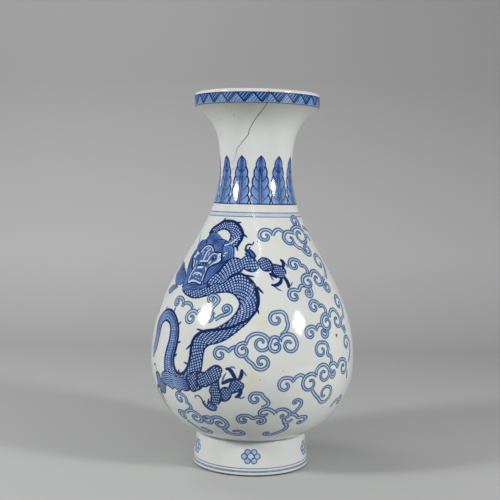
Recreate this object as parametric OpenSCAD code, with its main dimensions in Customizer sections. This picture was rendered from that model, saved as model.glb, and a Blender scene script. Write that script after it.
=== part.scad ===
// Pear-shaped porcelain vase with a high foot ring and an upright mouth band,
// thrown in five sections that are luted together with clay slip.

/* [Overall] */
// Height from the table to the top of the lip
vase_h = 300; // [285:1:330]

/* [Foot ring] */
// Diameter of the foot ring at the table
foot_d = 94.5; // [88:0.5:104]
// Diameter of the foot ring at its top
foot_top_d = 89; // [80:0.5:94]
// Height of the foot ring
foot_h = 26; // [18:0.5:34]
// Wall of the foot ring
foot_wall = 7; // [5:0.5:10]
// Rounding of the foot ring's two bottom edges
foot_round = 2; // [0.5:0.1:2.3]
// How far the outside of the foot ring curves in from a straight cone
foot_hollow = 0.5; // [0:0.1:2]

/* [Body] */
// Diameter where the underside of the body meets the foot ring
joint_d = 87.5; // [80:0.5:94]
// Rise of the body's underside at the foot ring, above level, in degrees
joint_rise = 17; // [8:1:35]
// Length that the underside keeps its rise
joint_pull = 22; // [12:1:32]
// Diameter of the belly
belly_d = 165; // [145:1:180]
// Height of the widest part of the belly
belly_z = 86.5; // [74:0.5:100]
// Fullness of the belly below its widest part
belly_pull_down = 28; // [16:1:36]
// Fullness of the belly above its widest part
belly_pull_up = 68; // [45:1:85]
// Wall of the body at the foot ring
body_wall = 6; // [4:0.5:8]
// Thickness of the floor inside
floor_t = 7; // [5:0.5:10]

/* [Neck] */
// Diameter of the neck at its waist
neck_d = 58.5; // [50:0.5:66]
// Height of the neck's waist
neck_z = 239.5; // [225:0.5:250]
// Length that the neck stays slim below its waist
neck_pull_down = 55; // [36:1:66]
// Length that the neck stays slim above its waist
neck_pull_up = 24; // [8:1:30]
// Lean of the flare from upright at the mouth band, in degrees
flare_lean = 53; // [35:1:60]
// Length that the flare keeps its lean
flare_pull = 22; // [12:0.5:26]
// Wall of the neck at the mouth band
neck_wall = 4.5; // [3:0.5:6]
// Height of the seam between the body and the neck
shoulder_seam_z = 203; // [180:1:215]

/* [Mouth band] */
// Outer diameter of the mouth band
rim_d = 100.5; // [98:0.5:110]
// Height of the mouth band with its lip
rim_h = 11; // [9:0.5:15]
// Thickness of the half-round lip
rim_wall = 4.5; // [3.5:0.25:6]
// Rounding of the mouth band's lower edge
rim_round = 0.8; // [0.3:0.1:1.2]
// Width of the ledge under the mouth band, between its rounding and the flare
rim_ledge = 0.45; // [0.2:0.05:3]

/* [Luting slip] */
// Thickness of each layer of slip
slip_t = 1.2; // [0.8:0.1:2]
// How far the slip stands proud of the wall inside
slip_bead = 0.8; // [0.3:0.1:1.5]

/* [Hidden] */
$fn = 120;

// Straight pieces in each curve, and in each quarter round
curve_steps = 22;
round_steps = 6;

foot_r = foot_d / 2;
foot_top_r = foot_top_d / 2;
joint_r = joint_d / 2;
belly_r = belly_d / 2;
neck_r = neck_d / 2;
rim_r = rim_d / 2;
flare_r = rim_r - rim_round - rim_ledge;

// Level of the body's underside, of the floor inside and of the mouth band's underside
base_z = foot_h + slip_t;
floor_z = base_z + floor_t;
rim_z = vase_h - rim_h;

// The lip is a half round as thick as the mouth band
lip_round = rim_wall / 2;
lip_z = vase_h - lip_round;
mouth_r = rim_r - rim_wall;

// Half of the slip at the belly lies each side of the widest part, and likewise at the shoulder
half_slip = slip_t / 2;

// Room beyond the widest part, for cutting the profile into sections
reach = max(belly_r, foot_r, rim_r) + 1;

// Control points of the outer profile, each as [radius, height]
lower_curve = [
    [joint_r, base_z],
    [joint_r + joint_pull * cos(joint_rise), base_z + joint_pull * sin(joint_rise)],
    [belly_r, belly_z - belly_pull_down],
    [belly_r, belly_z]
];
upper_curve = [
    [belly_r, belly_z],
    [belly_r, belly_z + belly_pull_up],
    [neck_r, neck_z - neck_pull_down],
    [neck_r, neck_z]
];
flare_curve = [
    [neck_r, neck_z],
    [neck_r, neck_z + neck_pull_up],
    [flare_r - flare_pull * sin(flare_lean), rim_z - flare_pull * cos(flare_lean)],
    [flare_r, rim_z]
];

// Point on a cubic curve and the direction of the curve there
function curve_point(c, t) =
    pow(1 - t, 3) * c[0] + 3 * pow(1 - t, 2) * t * c[1] + 3 * (1 - t) * t * t * c[2] + pow(t, 3) * c[3];
function curve_slope(c, t) =
    pow(1 - t, 2) * (c[1] - c[0]) + 2 * (1 - t) * t * (c[2] - c[1]) + t * t * (c[3] - c[2]);

// The wall thins evenly with height from the foot ring to the mouth band
function wall_at(z) = body_wall + (neck_wall - body_wall) * (z - base_z) / (rim_z - base_z);

// Point at a depth below the outer profile, square to it
function depth_point(c, t, depth) =
    let (d = curve_slope(c, t), p = curve_point(c, t))
    p - depth * [d[1], -d[0]] / norm(d);

function outer_points(c) = [for (i = [0 : curve_steps]) curve_point(c, i / curve_steps)];
function inner_points(c, extra) = [
    for (i = [0 : curve_steps])
        let (t = i / curve_steps)
        depth_point(c, t, wall_at(curve_point(c, t)[1]) + extra)
];

// Arc about a centre, from one angle to another, in degrees
function arc_points(centre, r, from, to) = [
    for (i = [0 : round_steps])
        let (a = from + (to - from) * i / round_steps)
        centre + r * [cos(a), sin(a)]
];

// Everything inside the outer surface, from the body's underside to the lip
module outer_profile() {
    polygon(concat(
        [[0, base_z]],
        outer_points(lower_curve),
        outer_points(upper_curve),
        outer_points(flare_curve),
        arc_points([rim_r - rim_round, rim_z + rim_round], rim_round, -90, 0),
        arc_points([rim_r - lip_round, lip_z], lip_round, 0, 180),
        [[0, lip_z]]
    ));
}

// The hollow inside, drawn in by an extra depth of wall
module hollow_profile(extra = 0) {
    intersection() {
        polygon(concat(
            [[0, base_z]],
            inner_points(lower_curve, extra),
            inner_points(upper_curve, extra),
            inner_points(flare_curve, extra),
            [[mouth_r, lip_z], [mouth_r, vase_h], [0, vase_h]]
        ));
        translate([0, floor_z])
            square([reach, vase_h - floor_z]);
    }
}

// Turned solid of the wall between two heights
module section(from_z, to_z, extra = 0) {
    rotate_extrude()
        intersection() {
            difference() {
                outer_profile();
                hollow_profile(extra);
            }
            translate([0, from_z])
                square([reach, to_z - from_z]);
        }
}

// Outside of the foot ring, hollowed a little between its bottom rounding and its top
foot_taper = foot_r - foot_top_r;
foot_rise = foot_h - foot_round;
foot_side = [
    [foot_r, foot_round],
    [foot_r - foot_taper / 3 - foot_hollow, foot_round + foot_rise / 3],
    [foot_top_r + foot_taper / 3 - foot_hollow, foot_h - foot_rise / 3],
    [foot_top_r, foot_h]
];
foot_in_r = foot_r - foot_wall;
foot_top_in_r = foot_top_r - foot_wall;

module foot_ring() {
    color("gainsboro")
        rotate_extrude()
            polygon(concat(
                arc_points([foot_in_r + foot_round, foot_round], foot_round, 180, 270),
                arc_points([foot_r - foot_round, foot_round], foot_round, 270, 360),
                outer_points(foot_side),
                [[foot_top_in_r, foot_h]]
            ));
}

module foot_slip_seam() {
    color("lightgray")
        rotate_extrude()
            polygon([
                [foot_top_in_r - slip_bead, foot_h],
                [foot_top_r, foot_h],
                [joint_r, base_z],
                [foot_top_in_r - slip_bead, base_z]
            ]);
}

module lower_body() {
    color("whitesmoke")
        section(base_z, belly_z - half_slip);
}

module belly_slip_seam() {
    color("lightgray")
        section(belly_z - half_slip, belly_z + half_slip, slip_bead);
}

module upper_body() {
    color("whitesmoke")
        section(belly_z + half_slip, shoulder_seam_z - half_slip);
}

module shoulder_slip_seam() {
    color("lightgray")
        section(shoulder_seam_z - half_slip, shoulder_seam_z + half_slip, slip_bead);
}

module neck() {
    color("whitesmoke")
        section(shoulder_seam_z + half_slip, rim_z - slip_t);
}

module mouth_slip_seam() {
    color("lightgray")
        section(rim_z - slip_t, rim_z, slip_bead);
}

module mouth_rim() {
    color("lightsteelblue")
        section(rim_z, vase_h);
}

foot_ring();
foot_slip_seam();
lower_body();
belly_slip_seam();
upper_body();
shoulder_slip_seam();
neck();
mouth_slip_seam();
mouth_rim();
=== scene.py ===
import itertools
import math

import bpy
import numpy as np
from mathutils import Matrix, Vector
from mathutils.geometry import delaunay_2d_cdt


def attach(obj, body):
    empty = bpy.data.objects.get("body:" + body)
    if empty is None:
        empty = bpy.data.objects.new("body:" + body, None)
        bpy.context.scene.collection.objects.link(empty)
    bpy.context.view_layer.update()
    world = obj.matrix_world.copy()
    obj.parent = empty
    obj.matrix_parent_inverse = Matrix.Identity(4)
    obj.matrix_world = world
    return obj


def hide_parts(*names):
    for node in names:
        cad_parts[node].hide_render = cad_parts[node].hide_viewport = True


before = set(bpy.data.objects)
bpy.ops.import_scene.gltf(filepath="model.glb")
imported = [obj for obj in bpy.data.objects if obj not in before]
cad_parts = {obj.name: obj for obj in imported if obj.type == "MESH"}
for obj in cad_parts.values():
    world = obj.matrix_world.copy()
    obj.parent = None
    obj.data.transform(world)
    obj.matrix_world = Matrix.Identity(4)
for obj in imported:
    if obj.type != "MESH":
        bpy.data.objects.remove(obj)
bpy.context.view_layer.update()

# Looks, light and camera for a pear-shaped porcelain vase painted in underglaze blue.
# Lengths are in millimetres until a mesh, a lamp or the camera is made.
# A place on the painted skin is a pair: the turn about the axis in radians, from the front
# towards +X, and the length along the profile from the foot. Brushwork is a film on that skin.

MM = 0.001
BODY = "root"

# Camera, at the photograph's viewing angle
IMAGE_PX = 500
CAMERA_AT = (0.0, -791.0, 225.7)
CAMERA_LENS = 70.06
CAMERA_SENSOR = 36.0
CAMERA_DOWN = math.radians(3.75)
CAMERA_LEFT = math.radians(0.256)
CAMERA_ROLL = math.radians(1.13)

# Stretch of the ray through a pixel, before and beyond the axis, that is searched for the skin
RAY_BEFORE = 95
RAY_BEYOND = 20
RAY_STEPS = 900

# Turned sections, from the table up, with the slot named for each
SECTIONS = {
    "foot_ring": "porcelain",
    "foot_slip_seam": "slip",
    "lower_body": "porcelain",
    "belly_slip_seam": "slip",
    "upper_body": "porcelain",
    "shoulder_slip_seam": "slip",
    "neck": "porcelain",
    "mouth_slip_seam": "slip",
    "mouth_rim": "porcelain",
}

# Steps round the skin and along its profile, and what is taken for the seam, a corner or a straight
SEGMENTS = 288
PROFILE_STEP = 1.8
FINE_STEP = 0.25
SEAM_OFF = 0.001
SEAM_DIGITS = 3
CORNER = math.radians(35)
STRAIGHT = 3.0
FLAT = 0.0025

# Films of brushwork: how they lie on the skin, their steps, and the bleed round a stroke
BURIED = 0.05
LIFT = 0.02
LIFT_STEP = 0.012
STROKE_STEP = 0.7
PATCH_STEP = 2.0
RING_STEP = 0.3
CUSP = math.radians(80)
BLEED = 0.38
BLEED_LEVEL = -1.0
BLEED_EVERY = 2
TINY = 1e-9
MERGED = 1e-6

# Ink in a film as a share: its spread or its mean, how far it ebbs, and the waves that it ebbs in
STRIP_INK = (0.6, 1.0)
STROKE_INK = (0.72, 1.0)
STROKE_EBB = 0.16
STROKE_WAVE = 9
STROKE_PHASE = 3
RING_INK = 0.82
RING_EBB = 0.18
RING_WAVES = (3, 7)
RING_PHASE = 1
PATCH_INK = 0.8
PATCH_EBB = 0.2
PATCH_WAVES = (4, 23)

# Share of a stroke that tapers at each end, and the ends of a stroke that doesn't taper
STROKE_TAPER = 0.3
EVEN = (1.0, 1.0)

# Colours as sRGB shares
GLAZE_WHITE = (0.825, 0.83, 0.81)
GLAZE_COOL = (0.795, 0.805, 0.795)
# Painted shade: the grey that the glaze is mixed towards, up the neck and under the mouth
GLAZE_PAINTED_SHADE = (0.70, 0.70, 0.665)
GLAZE_STAIN = (0.79, 0.75, 0.64)
BISCUIT = (0.36, 0.31, 0.25)
DIRT_BROWN = (0.24, 0.19, 0.14)
FLOOR_GREY = (0.70, 0.705, 0.70)
# The backdrop is painted paler just above the floor and darker higher up: painted light and shade
BACKDROP_PAINTED_LIGHT = (0.735, 0.735, 0.735)
BACKDROP_PAINTED_SHADE = (0.645, 0.645, 0.645)

# Tones of cobalt: the colour where the brush ran dry, then where it pooled
COBALT_BLACK = ((0.05, 0.15, 0.36), (0.02, 0.085, 0.27))
COBALT_DEEP = ((0.09, 0.23, 0.47), (0.05, 0.15, 0.36))
COBALT_TONES = {
    "cobalt_black": COBALT_BLACK,
    "cobalt_deep": COBALT_DEEP,
    "cobalt_wash": ((0.39, 0.52, 0.73), (0.17, 0.31, 0.56)),
    "cobalt_faint": ((0.48, 0.56, 0.68), (0.31, 0.40, 0.56)),
    "cobalt_leaf": ((0.51, 0.65, 0.85), (0.10, 0.24, 0.52)),
    "cobalt_line": ((0.36, 0.48, 0.63), (0.16, 0.285, 0.44)),
    "cobalt_ring": ((0.57, 0.65, 0.73), (0.38, 0.48, 0.60)),
    "cobalt_pale": (GLAZE_WHITE, (0.55, 0.65, 0.78)),
    "cobalt_scale": ((0.69, 0.78, 0.90), (0.47, 0.60, 0.82)),
    "cobalt_bleed": ((0.66, 0.73, 0.81), (0.50, 0.61, 0.77)),
    "cobalt_reserve": ((0.82, 0.845, 0.86), (0.70, 0.76, 0.83)),
    "cobalt_ring_wash": (GLAZE_COOL, (0.68, 0.74, 0.79)),
}

# Tones of the mouth band, where the glaze is worn
WORN_TONES = {
    "cobalt_band": ((0.30, 0.45, 0.67), (0.19, 0.34, 0.58)),
    "cobalt_band_grey": ((0.56, 0.66, 0.77), (0.38, 0.50, 0.66)),
    "cobalt_band_deep": COBALT_DEEP,
    "cobalt_band_black": COBALT_BLACK,
}

# Two browns of each stain
STAIN_TONES = {
    "iron_rust": ((0.70, 0.52, 0.30), (0.76, 0.68, 0.52)),
    "dirt_brown": (DIRT_BROWN, BISCUIT),
}


# Curves

def spline(points, spacing, corner, cuts=None):
    """Samples along a smooth curve through points, keeping corners sharper than an angle.

    A step that is far longer than its neighbour is taken as straight. A step can be cut at shares of it,
    which then count as points. Returns the samples, the direction leaving each sample, the direction
    reaching the next one, and the number of the sample at each point.
    """
    points = np.asarray(points, float)
    step = np.diff(points, axis=0)
    gap = np.linalg.norm(step, axis=1)
    way = step / gap[:, None]
    leave = way.copy()
    reach = way.copy()
    smooth = np.zeros(len(points), bool)
    for i in range(1, len(points) - 1):
        if np.dot(way[i - 1], way[i]) > math.cos(corner):
            smooth[i] = True
            mean = (way[i - 1] * gap[i] + way[i] * gap[i - 1]) / (gap[i - 1] + gap[i])
            if gap[i] > STRAIGHT * gap[i - 1]:
                mean = way[i]
            if gap[i - 1] > STRAIGHT * gap[i]:
                mean = way[i - 1]
            reach[i - 1] = mean
            leave[i] = mean
    for i in range(len(gap)):
        if smooth[i + 1] and not smooth[i]:
            leave[i] = 2 * way[i] - reach[i]
        if smooth[i] and not smooth[i + 1]:
            reach[i] = 2 * way[i] - leave[i]
    places = []
    leaving = []
    reaching = []
    starts = []
    for i in range(len(gap)):
        marks = [0.0, *(cuts or {}).get(i, []), 1.0]
        for low, high in zip(marks, marks[1:]):
            count = max(1, math.ceil(gap[i] * (high - low) / spacing))
            t = np.linspace(low, high, count + 1)[:, None]
            place = (
                points[i] * (2 * t**3 - 3 * t**2 + 1)
                + points[i + 1] * (3 * t**2 - 2 * t**3)
                + gap[i] * leave[i] * (t**3 - 2 * t**2 + t)
                + gap[i] * reach[i] * (t**3 - t**2)
            )
            slope = (
                6 * way[i] * (t - t**2)
                + leave[i] * (3 * t**2 - 4 * t + 1)
                + reach[i] * (3 * t**2 - 2 * t)
            )
            slope /= np.linalg.norm(slope, axis=1, keepdims=True)
            starts.append(len(places))
            places.extend(place[:-1])
            leaving.extend(slope[:-1])
            reaching.extend(slope[1:])
    starts.append(len(places))
    places.append(points[-1])
    return np.array(places), np.array(leaving), np.array(reaching), starts


def on_chord(before, here, after):
    """If a point lies on the straight way between its neighbours."""
    one, two = here - before, after - here
    return abs(one[0] * two[1] - one[1] * two[0]) < FLAT * np.hypot(*one) * np.hypot(*two)


def profile_curve(points, spacing):
    """Smooth profile through the ends of a wall's straight steps; points along a step move onto it."""
    points = np.asarray(points, float)
    inner = [i for i in range(1, len(points) - 1) if not on_chord(*points[i - 1 : i + 2])]
    ends = [0, *inner, len(points) - 1]
    cuts = {}
    for step, (a, b) in enumerate(zip(ends, ends[1:])):
        along = np.hypot(*(points[a : b + 1] - points[a]).T)
        cuts[step] = list(along[1:-1] / along[-1])
    return spline(points[ends], spacing, CORNER, cuts)


# Skin of the vase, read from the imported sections

def section_points(node):
    """Points (radius, height) round a turned node's wall: up its outside, then down its inside."""
    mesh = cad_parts[node].data
    keys = []
    for vertex in mesh.vertices:
        x, y, z = vertex.co / MM
        on_seam = abs(y) < SEAM_OFF and x >= 0
        keys.append((round(x, SEAM_DIGITS), round(z, SEAM_DIGITS)) if on_seam else None)
    links = {}
    for edge in mesh.edges:
        a, b = (keys[i] for i in edge.vertices)
        if a and b and a != b:
            links.setdefault(a, set()).add(b)
            links.setdefault(b, set()).add(a)
    ends = [key for key in links if len(links[key]) == 1]
    chain = [min(ends or links, key=lambda key: (key[1], -key[0]))]
    while True:
        onward = [key for key in links[chain[-1]] if key not in chain]
        if not onward:
            return chain, bool(ends)
        chain.append(max(onward, key=lambda key: key[1]))


def split_section(node):
    """Outside of a node from the bottom up, its inside from the top down, and if it meets the axis."""
    chain, meets_axis = section_points(node)
    heights = [key[1] for key in chain]
    top = heights.index(max(heights))
    return chain[: top + 1], chain[top + 1 :], meets_axis


walls = {node: split_section(node) for node in SECTIONS}
outer_points = []
outer_span = {}
for node, (outside, _, _) in walls.items():
    fresh = outside[1:] if outer_points and outside[0] == outer_points[-1] else outside
    first = len(outer_points) - (len(outside) - len(fresh))
    outer_points.extend(fresh)
    outer_span[node] = (first, len(outer_points) - 1)

skin, skin_leave, skin_reach, skin_starts = profile_curve(outer_points, PROFILE_STEP)
fine, fine_way, _, _ = profile_curve(outer_points, FINE_STEP)
fine_length = np.concatenate([[0], np.cumsum(np.linalg.norm(np.diff(fine, axis=0), axis=1))])
fine_way = np.vstack([fine_way, fine_way[-1:]])


def skin_radius(length):
    return np.interp(length, fine_length, fine[:, 0])


def skin_length(height):
    return float(np.interp(height, fine[:, 1], fine_length))


def on_skin(chart, lift):
    """Places, in millimetres, and normals of chart points that are lifted off the skin."""
    turn, length = chart[:, 0], chart[:, 1]
    outward = np.interp(length, fine_length, fine_way[:, 1])
    upward = -np.interp(length, fine_length, fine_way[:, 0])
    size = np.hypot(outward, upward)
    outward, upward = outward / size, upward / size
    radius = skin_radius(length) + lift * outward
    height = np.interp(length, fine_length, fine[:, 1]) + lift * upward
    side, front = np.sin(turn), -np.cos(turn)
    places = np.column_stack([radius * side, radius * front, height])
    normals = np.column_stack([outward * side, outward * front, upward])
    return places, normals


# Pixels of the photograph to places on the skin

def camera_turn():
    level = Matrix.Rotation(CAMERA_LEFT, 3, "Z") @ Matrix.Rotation(math.pi / 2 - CAMERA_DOWN, 3, "X")
    return level @ Matrix.Rotation(CAMERA_ROLL, 3, "Z")


def to_chart(pixels):
    """Chart points seen at pixels; a pixel just off the outline gives the nearest place on it."""
    pixels = np.asarray(pixels, float)
    focal = CAMERA_LENS / CAMERA_SENSOR * IMAGE_PX
    middle = IMAGE_PX / 2
    local = np.column_stack([pixels[:, 0] - middle, middle - pixels[:, 1], np.full(len(pixels), -focal)])
    rays = local @ np.array(camera_turn()).T
    rays /= np.linalg.norm(rays, axis=1, keepdims=True)
    away = np.linspace(-CAMERA_AT[1] - RAY_BEFORE, -CAMERA_AT[1] + RAY_BEYOND, RAY_STEPS)
    track = np.array(CAMERA_AT) + rays[:, None, :] * away[None, :, None]
    gap = np.hypot(track[..., 0], track[..., 1]) - np.interp(track[..., 2], fine[:, 1], fine[:, 0])
    result = []
    for path, room in zip(track, gap):
        inside = np.nonzero(room < 0)[0]
        if len(inside) and inside[0] > 0:
            i = inside[0]
            share = room[i - 1] / (room[i - 1] - room[i])
            place = path[i - 1] + share * (path[i] - path[i - 1])
        else:
            place = path[room.argmin()]
        result.append((math.atan2(place[0], -place[1]), skin_length(place[2])))
    return np.array(result)


def smooth(chart, closed=False, spacing=STROKE_STEP, corner=CUSP):
    """Chart curve through chart points, sampled along its length."""
    scale = np.array([skin_radius(chart[:, 1].mean()), 1.0])
    flat = chart * scale
    if not closed:
        return spline(flat, spacing, corner)[0] / scale
    round_trip = np.vstack([flat[-2:], flat, flat[:3]])
    places, _, _, starts = spline(round_trip, spacing, corner)
    return places[starts[2] : starts[len(flat) + 2]] / scale


def path_length(chart):
    """Length along a chart curve at each of its points."""
    step = np.diff(chart, axis=0)
    radius = skin_radius((chart[1:, 1] + chart[:-1, 1]) / 2)
    return np.concatenate([[0], np.cumsum(np.hypot(step[:, 0] * radius, step[:, 1]))])


def resample(chart, count):
    """Points evenly spaced along a chart curve."""
    along = path_length(chart)
    wanted = np.linspace(0, along[-1], count)
    return np.column_stack([np.interp(wanted, along, chart[:, k]) for k in (0, 1)])


def beside(chart, offset):
    """A chart curve moved sideways by an offset, to the left of its direction where positive."""
    radius = skin_radius(chart[:, 1])
    flow = np.gradient(chart, axis=0) * np.column_stack([radius, np.ones(len(chart))])
    flow /= np.maximum(np.linalg.norm(flow, axis=1, keepdims=True), TINY)
    return chart + np.column_stack([-flow[:, 1] * offset / radius, flow[:, 0] * offset])


# Layers of brushwork

class Layer:
    """Brushwork of one tone: thin closed films, at levels that stack up from the skin.

    A stroke can bleed: a paler, wider film of another layer then lies under everything that is painted.
    """

    def __init__(self, name, tone, bleed=None):
        self.name = name
        self.tone = tone
        self.bleed = bleed
        self.points = []
        self.lifts = []
        self.ink = []
        self.faces = []
        self.random = np.random.default_rng(len(name))

    def add(self, points, faces, level, copies, ink):
        """Film of faces over chart points, turned face up and repeated round the vase."""
        area = 0
        for face in faces:
            corner = points[list(face)]
            onward = np.roll(corner, -1, axis=0)
            area += np.sum(corner[:, 0] * onward[:, 1] - corner[:, 1] * onward[:, 0])
        if area < 0:
            faces = [tuple(reversed(face)) for face in faces]
        for copy in range(copies):
            first = len(self.points)
            self.points.extend(points + [2 * math.pi * copy / copies, 0])
            self.lifts.extend([LIFT + LIFT_STEP * level] * len(points))
            self.ink.extend(ink)
            self.faces.extend(tuple(first + i for i in face) for face in faces)

    def strip(self, left, right, level, copies=1, ink=None):
        """Film between two chart curves that have as many points."""
        count = len(left)
        across = max(1, math.ceil(np.max(np.abs(path_gap(left, right))) / PATCH_STEP))
        shares = np.linspace(0, 1, across + 1)
        points = np.vstack([left + share * (right - left) for share in shares])
        faces = []
        for row in range(across):
            for i in range(count - 1):
                a = row * count + i
                faces.append((a, a + count, a + count + 1, a + 1))
        tone = np.full(count, self.random.uniform(*STRIP_INK)) if ink is None else ink
        self.add(points, faces, level, copies, np.tile(tone, across + 1))

    def stroke(self, path, width, level, ends=EVEN, copies=1):
        """One pull of the brush along a chart curve, with its width at each end as a share."""
        along = path_length(path)
        share = along / along[-1]
        swell = np.minimum(1, ends[0] + (1 - ends[0]) * share / STROKE_TAPER)
        swell = np.minimum(swell, ends[1] + (1 - ends[1]) * (1 - share) / STROKE_TAPER)
        half = width / 2 * swell
        full = self.random.uniform(*STROKE_INK)
        phase = self.random.uniform(0, STROKE_PHASE)
        flow = full - STROKE_EBB * np.abs(np.sin(along / STROKE_WAVE + phase))
        self.strip(beside(path, half), beside(path, -half), level, copies, flow)
        if self.bleed:
            wide = half + BLEED
            some = np.unique(np.append(np.arange(0, len(path), BLEED_EVERY), len(path) - 1))
            left, right = beside(path, wide)[some], beside(path, -wide)[some]
            self.bleed.strip(left, right, BLEED_LEVEL, copies, flow[some])

    def ring(self, height, width, level):
        """A band all round the vase at a height, in steps that follow the curve of the skin."""
        turn = np.linspace(0, 2 * math.pi, SEGMENTS + 1)
        steps = np.linspace(-width / 2, width / 2, math.ceil(width / RING_STEP) + 1) + skin_length(height)
        rows = [np.column_stack([turn, np.full(len(turn), step)]) for step in steps]
        wave = np.sin(RING_WAVES[0] * turn) * np.sin(RING_WAVES[1] * turn + RING_PHASE)
        flow = RING_INK + RING_EBB * wave
        for low, high in zip(rows, rows[1:]):
            self.strip(high, low, level, 1, flow)

    def patch(self, outline, level, copies=1):
        """Film that fills a closed chart outline."""
        scale = np.array([skin_radius(outline[:, 1].mean()), 1.0])
        flat = outline * scale
        inner = grid_inside(flat, PATCH_STEP)
        every = [Vector(p) for p in np.vstack([flat, inner])]
        rim = list(range(len(flat)))
        made = delaunay_2d_cdt(every, [], [rim], 1, MERGED)
        points = np.array([tuple(v) for v in made[0]]) / scale
        faces = [tuple(face) for face in made[2]]
        wave = np.sin(points[:, 1] / PATCH_WAVES[0]) * np.sin(points[:, 0] * PATCH_WAVES[1])
        tone = PATCH_INK + PATCH_EBB * wave
        self.add(points, faces, level, copies, tone)

    def build(self, material, slot):
        """Mesh of the layer's films, closed underneath, with the skin's own normals on top."""
        chart = np.array(self.points)
        top, normals = on_skin(chart, np.array(self.lifts))
        bottom, _ = on_skin(chart, -BURIED)
        count = len(chart)
        edges = set()
        for face in self.faces:
            edges.update(zip(face, face[1:] + face[:1]))
        faces = list(self.faces)
        faces += [tuple(i + count for i in reversed(face)) for face in self.faces]
        faces += [(b, a, a + count, b + count) for a, b in edges if (b, a) not in edges]
        mesh = bpy.data.meshes.new(self.name)
        mesh.from_pydata(np.vstack([top, bottom]) * MM, [], faces)
        mesh.polygons.foreach_set("use_smooth", [True] * len(mesh.polygons))
        mesh.normals_split_custom_set_from_vertices(np.vstack([normals, -normals]))
        ink = mesh.attributes.new("ink", "FLOAT", "POINT")
        ink.data.foreach_set("value", np.tile(np.array(self.ink, np.float32), 2))
        make_piece(mesh, material, slot)


def path_gap(left, right):
    """Distance between matching points of two chart curves."""
    step = right - left
    return np.hypot(step[:, 0] * skin_radius(left[:, 1]), step[:, 1])


def grid_inside(outline, spacing):
    """Points of a square grid that lie well inside an outline."""
    low, high = outline.min(0), outline.max(0)
    across = np.arange(low[0] + spacing / 2, high[0], spacing)
    upward = np.arange(low[1] + spacing / 2, high[1], spacing)
    points = np.array([(x, y) for x in across for y in upward]).reshape(-1, 2)
    keep = [inside_outline(p, outline) and np.hypot(*(outline - p).T).min() > spacing / 3 for p in points]
    return points[keep] if len(points) else points


def inside_outline(point, outline):
    x, y = point
    onward = np.roll(outline, -1, axis=0)
    crosses = (outline[:, 1] > y) != (onward[:, 1] > y)
    rise = np.where(crosses, onward[:, 1] - outline[:, 1], 1)
    meet = outline[:, 0] + (y - outline[:, 1]) / rise * (onward[:, 0] - outline[:, 0])
    return np.count_nonzero(crosses & (x < meet)) % 2 == 1


def make_piece(mesh, material, slot, *nodes):
    """Scene object for a mesh, riding on the body, with its material; the slot is not used."""
    piece = bpy.data.objects.new(mesh.name, mesh)
    bpy.context.scene.collection.objects.link(piece)
    mesh.materials.append(material)
    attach(piece, BODY)
    if nodes:
        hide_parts(*nodes)


# Turned sections

def turned_mesh(name, places, leave, reach):
    """Closed mesh turned from a profile, with normals square to the profile's own curve."""
    turn = np.linspace(0, 2 * math.pi, SEGMENTS, endpoint=False)
    side, front = np.sin(turn), -np.cos(turn)
    vertices = []
    rows = []
    for radius, height in places:
        first = len(vertices)
        if radius < SEAM_OFF:
            vertices.append((0.0, 0.0, height))
            rows.append([first] * SEGMENTS)
        else:
            vertices.extend(zip(radius * side, radius * front, [height] * SEGMENTS))
            rows.append(list(range(first, first + SEGMENTS)))
    faces = []
    normals = []
    for k in range(len(leave)):
        here, there = rows[k], rows[(k + 1) % len(rows)]
        start, end = (leave[k][1], -leave[k][0]), (reach[k][1], -reach[k][0])
        for j in range(SEGMENTS):
            n = (j + 1) % SEGMENTS
            corners = [(here[j], j, start), (here[n], n, start), (there[n], n, end), (there[j], j, end)]
            if here[j] == here[n]:
                corners = corners[1:]
            elif there[j] == there[n]:
                corners = corners[:3]
            faces.append([c[0] for c in corners])
            normals.extend((c[2][0] * side[c[1]], c[2][0] * front[c[1]], c[2][1]) for c in corners)
    mesh = bpy.data.meshes.new(name)
    mesh.from_pydata(np.array(vertices) * MM, [], faces)
    mesh.polygons.foreach_set("use_smooth", [True] * len(mesh.polygons))
    mesh.normals_split_custom_set(normals)
    return mesh


def make_section(node, material):
    """Smooth turned piece for a CAD section: outside from the whole skin, the rest from its own wall."""
    outside, inside, meets_axis = walls[node]
    first, last = (skin_starts[i] for i in outer_span[node])
    rest = [tuple(skin[last])] + inside
    if meets_axis:
        rest += [(0.0, inside[-1][1]), (0.0, outside[0][1])]
    rest.append(tuple(skin[first]))
    places, leave, reach, _ = profile_curve(rest, PROFILE_STEP)
    all_places = np.vstack([skin[first:last], places[:-1]])
    all_leave = np.vstack([skin_leave[first:last], leave])
    all_reach = np.vstack([skin_reach[first:last], reach])
    mesh = turned_mesh(node + "_turned", all_places, all_leave, all_reach)
    make_piece(mesh, material, SECTIONS[node], node)


# Materials: roughness, heights, and for each noise its waves to the metre and the span of it that counts

GLAZE_ROUGH = 0.1
GLOSS = (0.06, 0.13)
GLOSS_WAVES = 45.0
GLOSS_SPAN = (0.3, 0.7)
WORN_GLOSS = (0.3, 0.42)
WORN_SHINE = 0.12
SWELL_WAVES = 110.0
SWELL_DEPTH = 0.00009
RIPPLE_WAVES = 560.0
RIPPLE_DEPTH = 0.00004
POOL_WAVES = 22.0
POOL_SPAN = (0.35, 0.7)
# Heights over which the glaze's painted shade grows up to under the rim, and where it fades out on the lip
PAINTED_SHADE_FROM_Z = 256.0
PAINTED_SHADE_FULL_Z = 289.0
LIP_WHITE_Z = 294.0
STAIN_WAVES = 120.0
STAIN_STRENGTH = 0.9
BARE_FOOT = 1.6
BARE_EDGE = 0.7
BISCUIT_WAVES = 600.0
BISCUIT_ROUGH = 0.8
INK_WAVES = 260.0
INK_SPAN = (0.25, 0.75)
INK_GRAIN = (0.55, 1.25)
DIRT_WAVES = 900.0
DIRT_ROUGH = 0.6
SOFT_DETAIL = 2.0
SPECKLED_DETAIL = 3.0
FINE_DETAIL = 4.0

# Sockets of a Mix node that hold its two colours and its result
MIX_ONE = 6
MIX_OTHER = 7
MIX_RESULT = 2


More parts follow.
